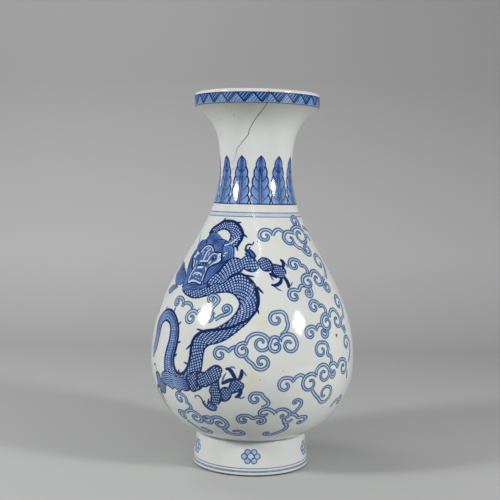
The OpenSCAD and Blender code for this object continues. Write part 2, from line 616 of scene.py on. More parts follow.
def linear(colour):
    """An sRGB colour as the linear colour that shaders take."""
    def channel(c):
        return c / 12.92 if c <= 0.04045 else ((c + 0.055) / 1.055) ** 2.4
    return (*[channel(c) for c in colour], 1.0)


class Shader:
    """A material with a Principled shader, and short ways to add and join nodes."""

    def __init__(self, name, roughness):
        self.material = bpy.data.materials.new(name)
        self.material.use_nodes = True
        self.tree = self.material.node_tree
        self.surface = self.tree.nodes["Principled BSDF"]
        self.surface.inputs["Roughness"].default_value = roughness
        self.place = self.add("ShaderNodeTexCoord", {}).outputs["Object"]

    def add(self, kind, inputs, **settings):
        """A node with its settings, and a value or a link for each input, by its name or number."""
        made = self.tree.nodes.new(kind)
        for name, setting in settings.items():
            setattr(made, name, setting)
        for key, value in inputs.items():
            self.put(made.inputs[key], value)
        return made

    def put(self, socket, value):
        if isinstance(value, bpy.types.NodeSocket):
            self.tree.links.new(value, socket)
        else:
            socket.default_value = value

    def height(self):
        return self.add("ShaderNodeSeparateXYZ", {"Vector": self.place}).outputs["Z"]

    def distance(self, place):
        inputs = {0: self.place, 1: tuple(place)}
        return self.add("ShaderNodeVectorMath", inputs, operation="DISTANCE").outputs["Value"]

    def ink(self):
        return self.add("ShaderNodeAttribute", {}, attribute_name="ink").outputs["Fac"]

    def noise(self, waves, detail=SOFT_DETAIL):
        inputs = {"Vector": self.place, "Scale": waves, "Detail": detail}
        return self.add("ShaderNodeTexNoise", inputs).outputs["Fac"]

    def ramp(self, value, low, high, start=0.0, end=1.0):
        inputs = {"Value": value, "From Min": low, "From Max": high, "To Min": start, "To Max": end}
        return self.add("ShaderNodeMapRange", inputs).outputs["Result"]

    def mix(self, factor, one, other):
        inputs = {"Factor": factor, MIX_ONE: one, MIX_OTHER: other}
        return self.add("ShaderNodeMix", inputs, data_type="RGBA").outputs[MIX_RESULT]

    def multiply(self, one, other):
        return self.add("ShaderNodeMath", {0: one, 1: other}, operation="MULTIPLY").outputs[0]

    def bump(self, height, depth, under=None):
        inputs = {"Height": height, "Strength": 1.0, "Distance": depth}
        if under:
            inputs["Normal"] = under
        normal = self.add("ShaderNodeBump", inputs).outputs["Normal"]
        self.put(self.surface.inputs["Normal"], normal)
        return normal

    def colour(self, value):
        self.put(self.surface.inputs["Base Color"], value)


def glaze_surface(shader, gloss):
    """Orange-peel ripple and gloss that the clear glaze gives to bare and painted porcelain alike."""
    swell = shader.bump(shader.noise(SWELL_WAVES), SWELL_DEPTH)
    shader.bump(shader.noise(RIPPLE_WAVES), RIPPLE_DEPTH, swell)
    roughness = shader.ramp(shader.noise(GLOSS_WAVES), *GLOSS_SPAN, *gloss)
    shader.put(shader.surface.inputs["Roughness"], roughness)


def glaze_material(name, foot_edge=False):
    """Milky white glaze with cool pools, yellow stains, and painted shade that greys it up the neck to the
    mouth.

    The edge of the foot that rests on the table is bare where asked.
    """
    shader = Shader(name, GLAZE_ROUGH)
    height = shader.height()
    cloudy = shader.ramp(shader.noise(POOL_WAVES, FINE_DETAIL), *POOL_SPAN)
    tone = shader.mix(cloudy, linear(GLAZE_WHITE), linear(GLAZE_COOL))
    # Painted shade, greying the glaze from the neck up to under the rim and fading out on the lip
    raised = shader.ramp(height, PAINTED_SHADE_FROM_Z * MM, PAINTED_SHADE_FULL_Z * MM)
    below_lip = shader.ramp(height, LIP_WHITE_Z * MM, PAINTED_SHADE_FULL_Z * MM)
    dim = shader.multiply(shader.multiply(raised, raised), below_lip)
    tone = shader.mix(dim, tone, linear(GLAZE_PAINTED_SHADE))
    for pixel, reach in GLAZE_STAINS:
        centre = on_skin(to_chart([pixel]), 0.0)[0][0] * MM
        near = shader.ramp(shader.distance(centre), reach * MM, 0.0, 0.0, STAIN_STRENGTH)
        spread = shader.multiply(near, shader.noise(STAIN_WAVES, SPECKLED_DETAIL))
        tone = shader.mix(spread, tone, linear(GLAZE_STAIN))
    glaze_surface(shader, GLOSS)
    if foot_edge:
        bare = shader.ramp(height, BARE_FOOT * MM, BARE_FOOT * MM * BARE_EDGE)
        grain = shader.mix(shader.noise(BISCUIT_WAVES, FINE_DETAIL), linear(BISCUIT), linear(DIRT_BROWN))
        tone = shader.mix(bare, tone, grain)
        roughness = shader.ramp(bare, 0.0, 1.0, GLAZE_ROUGH, BISCUIT_ROUGH)
        shader.put(shader.surface.inputs["Roughness"], roughness)
    shader.colour(tone)
    return shader.material


def cobalt_material(name, thin, thick, worn=False):
    """Cobalt under the glaze: a thin tone where the brush ran dry, a thick one where it pooled."""
    shader = Shader(name, GLAZE_ROUGH)
    if worn:
        shader.surface.inputs["Specular IOR Level"].default_value = WORN_SHINE
    grain = shader.ramp(shader.noise(INK_WAVES, FINE_DETAIL), *INK_SPAN, *INK_GRAIN)
    load = shader.multiply(shader.ink(), grain)
    shader.colour(shader.mix(load, linear(thin), linear(thick)))
    glaze_surface(shader, WORN_GLOSS if worn else GLOSS)
    return shader.material


def stain_material(name, colour, other):
    """Matt dirt and iron, speckled in two browns."""
    shader = Shader(name, DIRT_ROUGH)
    shader.colour(shader.mix(shader.noise(DIRT_WAVES, SPECKLED_DETAIL), linear(colour), linear(other)))
    return shader.material


# Pixels of the photograph that the painting follows

BODY_RIDGE_SIDE = [
    (184, 285.5), (190, 285), (197, 284.5), (206, 284), (214, 283), (222, 280), (230, 276.5), (238, 273),
    (246.4, 276.1), (252.7, 282.3), (257.3, 290), (258.9, 297.5), (258.5, 304.6), (256, 311), (252, 317),
    (246.5, 323.5), (240, 329), (232.5, 335), (224, 340.5), (215.5, 343.5), (208.5, 345.3), (204.8, 348.5),
    (203.2, 354), (202.5, 360), (201.8, 366), (200.5, 373), (196, 381), (187, 385.5), (176, 385),
    (168, 379), (164.8, 371),
]
BODY_BELLY_SIDE = [
    (182.3, 289.5), (186, 294.5), (194.6, 298), (203.6, 296.6), (212, 294), (220.5, 292.6), (228, 292.3),
    (233.5, 294), (237.3, 298), (239.2, 301.5), (239.8, 304), (239.3, 306.5), (238, 309.5), (235.5, 313.8),
    (232, 317.8), (226.5, 322.5), (221, 325.8), (214.5, 329), (207, 330.8), (200.5, 332.6), (195.5, 336.3),
    (192.3, 342), (190.9, 350), (190, 358), (188.3, 364.8), (186.3, 369.2), (183.3, 372.9), (181, 374),
    (178.5, 373.4), (175.8, 370.8), (174.2, 366.5),
]
TAIL_LEFT = [
    (168, 379), (164.8, 371), (164.3, 363.2), (164.8, 356), (166.6, 348.5), (168.8, 340.9), (170.1, 333.8),
    (170.5, 327.5), (169.3, 323), (166.6, 320.6), (164.3, 321.3), (162.3, 324.2), (161, 329), (159.6, 336),
    (158, 343), (156.3, 349.5), (154.8, 353), (153.9, 357),
]
TAIL_RIGHT = [
    (175.8, 370.8), (174.2, 366.5), (173.4, 360.5), (173.9, 355), (175.6, 349.3), (177.2, 341.5),
    (178.2, 334.5), (178.3, 327), (177.2, 320.8), (173.5, 312), (168.8, 309.2), (162.5, 313.5),
    (158.8, 320), (157.2, 328), (155.8, 336.5), (154, 346), (153.6, 352), (153.7, 357),
]
NECK_OUTSIDE = [
    (209.5, 233.5), (213, 228.4), (218, 225), (223.2, 221.8), (229, 220.9), (235.7, 222.5), (240.2, 227.3),
    (242.6, 233), (242, 238), (239, 243.2), (235.7, 247.5),
]
NECK_INSIDE = [
    (215.6, 233.2), (217.6, 231.4), (220.5, 230), (223.6, 229.1), (226.8, 229.7), (229, 231.3),
    (230.6, 233.6), (230.8, 236), (230, 239), (228.5, 241.8), (226, 244.5),
]
NECK_DIVIDER = [(224.4, 245.2), (227.6, 244.5), (230.6, 243.3), (234.8, 240.4), (239.3, 236.3)]
RIDGE_CROSSING = [(251, 317), (246.4, 320.4), (239, 324), (230, 327.5), (221, 329.3), (212.5, 330)]
BACK_RIDGE = BODY_RIDGE_SIDE[8:14] + RIDGE_CROSSING + BODY_BELLY_SIDE[19:30] + TAIL_RIGHT[1:14]
LOOP_RIDGE = [
    (241, 273), (246.4, 276.6), (252.2, 282.6), (256.2, 289.8), (257.8, 297), (257.4, 304.4),
    (255.2, 310.6),
]
SPINES = [
    [(223.2, 221.6), (225.4, 218.5)], [(236.2, 222.9), (240.6, 222.3)], [(242.4, 233.2), (246.4, 236.8)],
    [(237.1, 245.7), (237.5, 250.2)], [(212.5, 229), (209, 236)], [(244.6, 275.2), (252.7, 276.5)],
    [(258, 287.7), (262.5, 292.6)], [(256.7, 307), (258.5, 312.8)], [(203.6, 331.1), (197.8, 329.3)],
    [(192, 343.6), (187.1, 348.5)], [(189, 364.5), (184.6, 362.6)], [(179.2, 373.2), (178.6, 369.9)],
    [(166.6, 309.5), (167, 306.6)], [(174.5, 310.3), (175.7, 307.8)], [(179, 324), (180.9, 321.9)],
    [(178.6, 342.2), (180.3, 341.8)], [(174.9, 355.8), (176.5, 354.1)],
]

FACE = [
    (200.9, 250.7), (202.8, 248.4), (205.9, 245.8), (209.3, 244.6), (212.4, 246.1), (214.3, 249.2),
    (214.5, 251.8), (217.3, 253), (220, 252.3), (221.9, 253.4), (221.2, 257.6), (221.5, 259.9),
    (218.9, 262.6), (215, 264.1), (212, 265.3), (209.3, 267.6), (207.8, 268.9), (205.8, 272.4),
    (204.3, 276.2), (202.8, 280.8), (200.9, 284.2), (199, 284.4), (196.7, 283.1), (193.2, 282.5),
    (190.2, 283.3), (187.1, 284), (187.9, 280.8), (189.4, 276.2), (191.3, 271.6), (192.8, 269.3),
    (192.1, 267.6), (192.5, 263.4), (192.8, 259.2), (193.6, 256.1), (195.1, 253.4), (197.4, 250.7),
    (199.3, 250.7),
]
FACE_BANDS = [
    (1.42, [(201.2, 252), (202.7, 250.4), (204.4, 248.3), (206.4, 246.6), (208.8, 245.8), (211, 246.2),
            (212.7, 247.6), (213.4, 249.4), (213.1, 251.4)]),
    (1.35, [(211, 248.8), (209.2, 250.2), (207.4, 251.8), (206.2, 253.8), (205.2, 256), (204.4, 258.2),
            (203.4, 260)]),
    (0.74, [(204.3, 251.1), (203.3, 252.8), (202.5, 254.9)]),
    (0.74, [(210.2, 252.4), (209.1, 253.6), (208.6, 255.2)]),
    (0.68, [(206.6, 249.2), (208.2, 248.1), (209.6, 248)]),
    (1.55, [(199.8, 261.4), (203, 261), (206, 261.1), (208.2, 260.8)]),
    (1.22, [(207.7, 261), (208.6, 259.2), (209.9, 257.1), (211.5, 255.2), (213.2, 254), (215, 253.5),
            (217, 253.9), (218.6, 254.4)]),
    (1.62, [(208.7, 264), (209.7, 262.3), (211.2, 261.3)]),
    (1.08, [(194.2, 259.8), (194.3, 262), (193.9, 264.4), (193.5, 266.4)]),
    (1.08, [(197.3, 260.2), (196.8, 262), (196.2, 263.8)]),
    (1.96, [(197.6, 267.8), (200.4, 267.2), (203.2, 267.4)]),
    (1.15, [(195.6, 266.8), (194.4, 268.9), (192.4, 271.8), (191.1, 273.9), (190.2, 276.4), (189.1, 279),
            (188.2, 281.6)]),
    (1.15, [(205.7, 267.2), (206, 269.8), (205.2, 272.6), (203.9, 275.2), (202.7, 278.1), (201.7, 280.8)]),
    (1.89, [(187.9, 282.9), (189.8, 281.6), (191.9, 280.6), (194.3, 280.8), (196.8, 282), (199, 283.1),
            (200.8, 283)]),
    (1.35, [(192.9, 275.2), (193.9, 273.7), (195.6, 272.9), (197.8, 272.8), (199.8, 273.3), (201.1, 274.4),
            (201, 276)]),
    (0.61, [(195.2, 275), (196.8, 274.5), (198.5, 275.2)]),
    (0.81, [(195.4, 277.2), (196.6, 277.6)]),
    (0.81, [(198, 278.4), (199.2, 278.8)]),
]
CHEEKS = [
    [(218.9, 253.3), (220.6, 252.9), (221.5, 253.9), (221.7, 255.5), (220.4, 257.6), (221.3, 259),
     (220.5, 260.5), (218.5, 262.4), (216, 264), (213.1, 264.9), (211, 265.9), (209.6, 267.1), (209, 266.8),
     (210.1, 265), (211.9, 263.2), (214.4, 261.5), (216.6, 259.9), (217.1, 257.6), (217.3, 255.6),
     (217.6, 254.2)],
    [(197.7, 250.9), (198.9, 250.6), (199, 252), (200.1, 253), (199.3, 254.3), (197.9, 254.8),
     (196.6, 256.4), (195.4, 258), (194.2, 257.9), (193.9, 256.8), (195, 255.3), (196.4, 253.8),
     (197, 252.2)],
]
EYE = [
    (211.4, 257.7), (212.8, 256), (214.6, 255.5), (216.1, 256.2), (216.2, 258.2), (214.8, 259.8),
    (212.8, 260),
]
GUMS = [(197.6, 265.6), (198.4, 262.8), (203, 262.7), (207, 262.9), (206.6, 265.2), (203.4, 265.6)]
GLINTS = [
    [(199.5, 263), (199.4, 264.2)], [(201.7, 263.4), (201.5, 264.8)], [(204.6, 263.6), (204.4, 265)],
    [(214.3, 256.6), (214.9, 257.8)],
]
MANE_BASE = [
    (198.4, 243.4), (206, 239.6), (212, 233), (218.6, 234), (223.5, 239), (228.4, 241.6), (226, 247),
    (222.4, 253), (214, 254), (205, 251), (196.6, 251),
]
MANE_LOCKS = [
    ([(200.5, 249.5), (199.3, 246), (199.5, 242.8), (203, 239.8)],
     [(204.9, 246.6), (206.8, 243.5), (207.2, 241), (206.2, 239.2)]),
    ([(207, 243.4), (206.8, 239), (209.5, 235.5), (213, 232.5), (217.5, 233)],
     [(212.6, 244.5), (214, 241.6), (217, 240.2), (220, 239.4), (222.8, 239)]),
    ([(213.2, 247), (214, 243.4), (217, 240.5), (221, 239.5), (225.3, 240.3)],
     [(215.4, 251.8), (219, 251), (221, 250), (223.7, 245.5), (225.5, 240.8)]),
    ([(222.5, 247.5), (222.3, 254), (222, 259.5), (219.5, 262.8), (214.5, 264.6), (209.5, 268.2),
      (205.5, 275), (203.5, 283.5)],
     [(228, 245), (234, 248.3), (233.9, 252.5), (233.5, 257), (226.5, 262), (218, 271), (208.5, 280),
      (205, 284.5)]),
    ([(196.5, 249), (193, 254), (190, 261), (188, 268), (186.5, 275), (184, 281), (182.2, 287)],
     [(198, 250.4), (194.6, 254.6), (193, 259.5), (192.4, 265), (191.8, 270.6), (189, 277),
      (186.8, 284.2)]),
    ([(182.3, 287), (187, 284.3), (193.2, 282.8), (196.7, 283.4), (200.9, 284.6), (204, 283.5),
      (207, 283.2)],
     [(182.8, 291), (187, 290.6), (191, 289.7), (196, 289), (200, 288.9), (204, 287.6), (207.5, 286.4)]),
]
WHISKERS = [
    [(201.8, 232.3), (200.4, 236.5), (199.6, 241.3), (199.8, 245.6)],
    [(183.5, 260), (182, 263.4), (180.4, 267.1)], [(187.1, 269.3), (184.6, 270.9), (182.5, 272)],
]
CHEEK_FLECKS = [[(223.9, 253.8), (227.2, 252.4)], [(222.9, 256.3), (224.6, 255.2)]]

FAR_LEG_LEFT = [(183.8, 259.7), (181, 266.6), (177.5, 272), (176, 278), (176.4, 285.6)]
FAR_LEG_RIGHT = [(184.4, 262.4), (184.6, 268), (185.8, 273.6), (185, 279.2), (180.4, 285)]
FAR_PAW = [(177, 284.8), (172.4, 285.4), (168.8, 289.5), (171, 293.5), (174.1, 290.4), (178.6, 287)]
PAW_STRANDS = [
    [(177.4, 285.6), (174, 286.6), (170.2, 289.8)], [(178, 286.4), (174.4, 288.2), (171.2, 291.8)],
]
FORELEG_TOP = [
    (207.1, 285.9), (208, 281.4), (217.9, 271.6), (226.8, 261.8), (232.8, 258), (238, 258.3),
    (241.2, 259.6), (244.7, 257), (249.2, 256.1), (253.7, 257.9), (256.3, 261.4), (258.2, 264.6),
]
FORELEG_UNDER = [
    (208.9, 287.7), (216.1, 283.2), (221.4, 284.1), (225.9, 281.4), (228.6, 277.9), (234.8, 275.2),
    (240.2, 272.5), (242.9, 267.7), (247, 270.4), (251.4, 271.7), (255.4, 270.8), (258.6, 267.7),
]
FOREARM_TOP = [(257.7, 264), (258.6, 260.4), (261.3, 258.1), (265.3, 258.1), (269.7, 260.5), (272.4, 264.6)]
FOREARM_UNDER = [(258.2, 265.4), (260.4, 267.7), (264.8, 270.8), (268.8, 271), (272, 269.5), (273, 266.6)]
PAW_TOP = [(271.6, 266.6), (272.9, 264.6), (277.3, 265), (282.2, 266.8), (285.4, 270.4), (285.4, 273.9)]
PAW_UNDER = [(271.8, 270), (272.9, 274.4), (276.9, 276.6), (280.4, 277.9), (283.6, 277.5), (285, 275.4)]
FORE_CLAWS = [
    [(282.7, 267.4), (283.4, 264.6), (283.1, 262.4), (280, 259.6)],
    [(277.4, 277.6), (273.6, 275.4), (270.6, 274), (269.2, 273.2)],
    [(281.3, 277.8), (280.6, 282), (277.6, 284.6), (274.6, 285.4), (271.3, 284.6)],
    [(283.6, 276.8), (287.1, 281.5), (288.4, 284.8), (288.5, 288.4)],
]
FORE_NAILS = [
    [(283.4, 262.2), (285.8, 264), (288, 267.7)], [(270.2, 274), (271.6, 277.6), (273.8, 280.6)],
    [(273.6, 285.4), (277, 288.4), (281.8, 290.9)], [(288.8, 287.4), (290.6, 285.4), (292.5, 282)],
]
FLAME_BASE = [
    (246.2, 248.6), (248.8, 249.6), (252, 252.4), (255, 256), (254, 258.4), (248.6, 258), (245.8, 253),
]
ELBOW_FLAME = [
    [(246, 251), (245.8, 248.2), (246.6, 245.6), (249, 244.3), (251.8, 244.8), (253.2, 243.4),
     (253.6, 241.6)],
    [(251, 256.4), (248.6, 252), (246.6, 249.4)],
    [(255, 255.4), (252.4, 251.8), (249, 249), (249.4, 247.8), (250.8, 247.2)],
    [(247.4, 252.6), (245.6, 250.4), (244.4, 249.2)], [(247.4, 256), (246.2, 254.6), (244.8, 253.2)],
    [(254.4, 257.8), (255.4, 256.2), (255.6, 255)],
]

THIGH_TOP = [
    (196, 374), (201.2, 372.4), (204.7, 372.4), (207.9, 369.7), (211.4, 367.1), (215.4, 365.5),
    (219, 366.2), (221.7, 369.3), (221.3, 372.9),
]
THIGH_UNDER = [
    (196, 386.4), (201.2, 386.2), (205.2, 386.7), (209.2, 385), (211, 384), (214, 383), (217, 381.4),
    (219.4, 378), (221, 374.6),
]
SHIN_LEFT = [
    (210.4, 381), (211, 386.3), (209.6, 390.7), (211.4, 396.1), (211, 399.6), (211.9, 403.2), (215, 404.6),
]
SHIN_RIGHT = [
    (219.2, 377), (218.4, 382), (219, 386.4), (219.6, 391), (220.8, 395), (220.6, 400.4), (217.7, 404.6),
]
FOOT_TOP = [
    (219.6, 393), (220.4, 390.7), (222.1, 388.5), (225.7, 387.4), (228.4, 388.5), (229.7, 385.4),
    (231.1, 381.8), (232.9, 380), (237, 378.8), (240.4, 380),
]
FOOT_UNDER = [
    (219.8, 399), (221.3, 400.5), (225.7, 401), (228.8, 399.2), (230.6, 396.5), (231.5, 393.8),
    (235.1, 392.5), (239.6, 390.7), (243, 388), (243.2, 383.4),
]
HIND_CLAWS = [
    [(235.6, 379.8), (230.2, 380), (225.7, 381.8), (222.6, 383.4), (221.4, 383.8)],
    [(236, 380), (232.9, 374.2), (230.2, 370.2), (228.4, 368.9), (225.5, 369.5)],
    [(239.1, 379.6), (241.3, 375.1), (241.8, 371.5), (241.8, 369.3)],
    [(241, 388.8), (240.2, 393.2), (238.7, 395.6), (234.8, 397.2)],
]
HIND_NAILS = [
    [(222.2, 382.6), (223.5, 377.3), (226.2, 372.9)], [(229, 368.8), (232.6, 367), (235.5, 368.8)],
    [(242.2, 371), (244.4, 373.2), (246.7, 376.4)], [(237.6, 397.2), (241.4, 398.2), (244.9, 396.5)],
]
HEEL_HAIR = [
    (194.9, 397.9), (196.7, 395.4), (199.8, 396.5), (202.1, 400.1), (203.4, 403.7), (207, 407.7),
    (212.3, 410.4), (216.3, 409.9),
]
HEEL_TOP = [(203.4, 402.6), (207, 404.4), (209.6, 401), (212.4, 403.6), (216, 405.6), (217, 408.4)]
HEEL_UNDER = [(203.6, 403.6), (205.6, 406.4), (208.4, 408.6), (212.3, 410.2), (215, 410), (216.6, 409.4)]
HEEL_SPURS = [
    [(203.2, 402.6), (204.2, 401.4), (205, 400.6)], [(207.4, 404.4), (208.2, 401.4), (208.8, 398.3)],
]
HEEL_FLECKS = [
    [(206.2, 404.8), (207.8, 403.2)], [(208.2, 406.4), (209.6, 404)], [(210.2, 408.2), (211.6, 405.8)],
    [(212.6, 409.2), (213.6, 407)],
]
FRILL_TOP = [
    (161.4, 375.4), (163.4, 371.6), (166.6, 371), (170, 372), (173.6, 374.6), (177.4, 376.6), (182, 377.2),
    (186.4, 378),
]
FRILL_UNDER = [
    (161.6, 379.6), (164.4, 383.4), (167.4, 385.2), (170.4, 387), (172.9, 388.8), (174.3, 387),
    (177, 389.2), (180, 391.3), (182.3, 389.2), (184.4, 390.4), (187, 390.6), (189.6, 389.6),
]
FRILL_END = [(185.8, 377.6), (188.4, 380.4), (189.6, 384.6), (189.8, 389.6)]
PAD_TOP = [(185.5, 377), (189, 374), (194, 371.6), (199, 371), (202, 372.4)]
PAD_UNDER = [
    (188.5, 389.8), (190, 389.2), (192, 391), (194.4, 391.4), (197, 390.2), (199.4, 389.4), (202.2, 386.4),
]
LIMB_LEG_LEFT = [
    (155.6, 371.5), (156.4, 375.5), (157.4, 379.5), (158, 383.5), (159.4, 387.5), (161.4, 391),
    (163.6, 393.4),
]
LIMB_LEG_RIGHT = [
    (157.4, 371), (159.6, 374.4), (161, 378.4), (163.4, 381.6), (165.6, 385.4), (165.7, 389.6),
    (164.8, 393.4),
]
LIMB_CLAWS = [
    [(160.4, 386.4), (158.2, 385.8), (158, 388.6), (159.8, 392.2), (161.8, 396.2), (163.6, 400),
     (166.2, 404), (169.3, 408.2), (172.2, 412)],
    [(162.6, 390.6), (160.9, 391.4), (162.4, 394.6), (164.4, 398.4), (166.6, 402.2)],
]
LIMB_HAIR = [
    [(153.8, 366.8), (154.5, 363.7), (155.6, 364.9), (156.2, 368.4), (156.7, 372)],
    [(164.1, 297.5), (161.6, 304), (158.3, 311.6)],
]

# Clouds: pixels along each arm, and the eye that its end winds in round; later arms lie on top
CLOUDS_BY_NECK = [
    ([(303, 227.4), (305.8, 229), (308, 231.5)], None),
    ([(306.3, 235.7), (308.4, 237.4), (309.6, 239.9)], None),
    ([(299.7, 226.6), (298.6, 222.8), (296.6, 219.4)], (294.8, 221.6)),
    ([(294.7, 244), (298, 247.3), (302.1, 249), (305.5, 253.1), (308.8, 254.8)], (306.6, 249.6)),
    ([(272.7, 234.2), (270.2, 231.2), (266.5, 229.8)], (265.4, 235.8)),
    ([(272.9, 234.4), (274.8, 231.2), (278, 229.3), (281.6, 230.8), (284.4, 234.4)], None),
    ([(291.4, 233.2), (291.8, 229.9), (294.7, 227), (298.8, 227.4), (303, 231.6)], (300.4, 235.2)),
    ([(293.5, 233), (289.5, 231.8)], (290, 238.8)),
]
CLOUDS_BY_PAW = [
    ([(325.8, 277.2), (325.4, 273), (323.7, 266.4), (321.2, 260.6)], (319.2, 262.4)),
    ([(323.7, 278), (322.9, 282.1), (325.4, 288.8)], (326.8, 286.2)),
    ([(307.5, 271.8), (305.9, 268), (303, 265.6), (300.9, 265.6), (298.8, 261.4), (295.1, 259.8)],
      (294.2, 264.8)),
    ([(303.8, 285.5), (300.5, 286.3), (298.8, 290.4), (293.9, 289.6)], (294.4, 295.6)),
    ([(309.6, 287.9), (311.7, 292.1)], (308.5, 292.6)),
    ([(310.4, 275.5), (311.7, 271.8), (314.6, 270.9), (317.9, 273.4)], (317.4, 279)),
    ([(308.8, 274.7), (304.6, 275.5)], (307.8, 281.8)),
]
CLOUDS_AT_RIGHT = [
    ([(343.2, 317), (341.5, 306.2), (338.6, 298.7)], (338, 302.6)),
    ([(341.9, 317.5), (341.1, 324.9), (344.4, 331.6)], (344, 328.4)),
    ([(325.8, 312), (325, 308.7), (322, 305.4), (319.1, 306.6), (317.9, 302.9), (314.6, 301.2)],
      (314.2, 306.6)),
    ([(321.2, 324.9), (317.9, 325.8), (316.7, 329.9), (312.9, 326.6), (308.8, 327.4)], (310.6, 333)),
    ([(327.8, 329.1), (327.8, 333.2)], (324.5, 332.4)),
    ([(329.5, 316.1), (330.7, 310.3), (333.7, 309.5), (337.8, 314.5)], (336.8, 320.2)),
    ([(328.7, 316.6), (326.2, 314.1), (322.4, 316.6), (321.6, 321.6)], (326.6, 322.4)),
]
CLOUDS_IN_MIDDLE = [
    ([(281.8, 334.9), (287.2, 328.2), (288, 324.1), (286.8, 320), (285.6, 315), (281.4, 311.7),
      (276.4, 312.1)], (276.2, 319)),
    ([(235.7, 347.1), (232.1, 348), (228.6, 351.6), (225, 348.5), (220.5, 347.6)], (220, 354)),
    ([(244.9, 356), (248.2, 360.6), (252.4, 363.9), (255.7, 368), (260.7, 369.7), (265.7, 368)],
      (261.8, 362.6)),
    ([(245.8, 343.6), (250.7, 335.7), (256.5, 333.6), (263.2, 334.9), (268.1, 339), (269.4, 344)],
      (261.6, 343.2)),
    ([(245.8, 343.6), (240.8, 343.6), (237, 346.5)], (242.6, 350.4)),
    ([(279.8, 340.7), (276.4, 337.4), (272.3, 337.8), (270.2, 342.3)], (275.6, 346)),
    ([(280.2, 340.7), (281.8, 336.5), (287.2, 334), (293, 335.7), (296.3, 340.7)], (289.8, 344.4)),
]
CLOUDS_LOW_RIGHT = [
    ([(348.6, 360.6), (349.8, 351.5), (349.4, 343.2), (347.7, 338.2)], (346.4, 342.8)),
    ([(346.9, 371.4), (346.5, 377.2)], None),
    ([(331, 406), (334, 402), (338, 398.6)], (338.4, 400.6)),
    ([(330.3, 363.9), (331.6, 360.6), (330.7, 356.4), (327.4, 354), (328.3, 348.1), (326.2, 343.2),
      (322, 342.3)], (321.4, 350)),
    ([(337.8, 365.6), (339.5, 360.6), (342.8, 358.9), (345.7, 362.2)], (343.4, 367)),
    ([(330.3, 369.7), (330.3, 373.8)], (333, 373)),
    ([(329.1, 367.2), (331.2, 363.9), (334.5, 363.1), (337, 367.2)], None),
    ([(303.8, 376.3), (300.1, 375.1), (295.5, 378), (293, 381.3), (290.9, 378.4), (286.4, 378)],
      (285.4, 385.2)),
    ([(312.5, 390.9), (315.4, 395.4), (317.9, 397.9), (321.2, 402), (325.4, 400.8)], (325, 393.6)),
    ([(316.2, 374.7), (317.1, 369.7), (320.4, 365.6), (324.5, 364.7), (328.3, 368)], (324.2, 373.8)),
    ([(316.2, 375.5), (311.3, 373.8), (306.3, 376.3)], (310, 383)),
]
CLOUDS_BY_FOOT = [
    ([(262.8, 407.4), (268.6, 402.9), (267.3, 400.4), (264, 397.5), (261.5, 394.2), (256.5, 393.3)],
      (255.2, 398.8)),
    ([(291.6, 413.2), (295.4, 411.4), (298.2, 408.6), (300.6, 405.6), (301.6, 402.6), (300.4, 400.4),
      (297.6, 399.6), (294.8, 400.6), (293.4, 402.4), (294.4, 403.6), (296, 402.8)], None),
    ([(291.8, 414.2), (295.2, 415), (297.4, 416.8), (298, 417.8)], None),
    ([(298.6, 417.4), (301.4, 416.7), (304.4, 416.6), (305.8, 417.8), (304.8, 419.8), (302, 421.8),
      (299.2, 423), (297.6, 422.6), (298.6, 421.6), (300, 421.4)], None),
    ([(284.4, 422.8), (286.4, 425.2), (286.2, 427.6), (284, 429.8), (279.8, 431.7), (275, 433.4),
      (269, 434.8), (264.2, 434.4), (264.6, 433.2), (267.6, 432.6)], None),
    ([(284.6, 418.4), (283.8, 420.4), (284.9, 422), (287.4, 422.2), (289.8, 421), (291.3, 419.9)], None),
    ([(261.5, 417.8), (257.4, 417), (253.2, 418.6), (249.1, 416.1), (243.3, 415.7)], (242.8, 419.8)),
    ([(262.8, 418), (264.6, 419.8), (264.2, 421.8), (261.6, 423.2), (258.6, 423.2), (257.6, 421.9),
      (259.2, 421.2)], None),
    ([(275.4, 412.4), (278.2, 410.2), (281.4, 409.3), (284.8, 409.3), (287.6, 410.6), (289.7, 412.8),
      (289.4, 415), (287.2, 417), (284, 417.9), (281.4, 417.2), (281.4, 415.7), (283, 415.2)], None),
    ([(275.2, 413.4), (272.4, 411), (269.8, 409.5), (266.6, 409), (262.4, 409.8), (259.7, 412.2),
      (259.9, 414.6), (262.4, 415.7), (265, 415.3), (266.8, 414.2)], None),
]
CLOUDS_LOW_LEFT = [
    ([(188.4, 420.8), (192.5, 424), (196.6, 426.6), (201, 429.8), (205.6, 431.8), (209.8, 432.2),
      (211.2, 431.6), (209, 430.2), (205.4, 428.6), (202.2, 427.6)], None),
    ([(224.7, 429.5), (229, 432.9), (240.2, 434.7), (243.6, 433.8), (240.2, 431.2), (234.1, 431.2)], None),
    ([(189.8, 409.3), (191, 407.6), (189.4, 404.3), (186.5, 402.7), (186.5, 399.3), (184.4, 396),
      (180.7, 393.9)], (180, 398)),
    ([(185, 412.6), (181.6, 411)], (183.4, 415)),
    ([(211.4, 418.6), (216.4, 417), (222, 418.8), (226.2, 422.4)], (220.8, 423.8)),
    ([(203, 418.6), (206, 416.8), (210.4, 417.8)], (206.8, 419.4)),
    ([(186.4, 411.8), (191, 410.4), (196, 412.6), (200.4, 416.6)], (196.4, 417.6)),
]
CLOUDS_IN_LOOP = [
    ([(182.5, 305.8), (183.6, 302.4), (182.8, 299.1), (179.9, 297.5)], (177.8, 301.8)),
    ([(182.8, 305.3), (185.2, 303.3), (188.6, 302.9), (191.5, 305.3), (191.9, 309.1), (191, 310.7)], None),
    ([(216.1, 319), (221.4, 315.9), (227.7, 313.7), (230.8, 310.5)], (226.4, 309.6)),
    ([(213.4, 314.4), (211.6, 309.4), (214.3, 305.7), (218.9, 299.9), (217.7, 297.2), (214.3, 295.3)],
      (212, 299.2)),
    ([(197.6, 312.6), (199.6, 310.2), (203.4, 309.2), (208, 311), (212, 314.6)], (208, 317.2)),
    ([(197.3, 313.2), (195.6, 311.6), (192.7, 310.7), (189.4, 312.4)], (190.8, 317.6)),
]
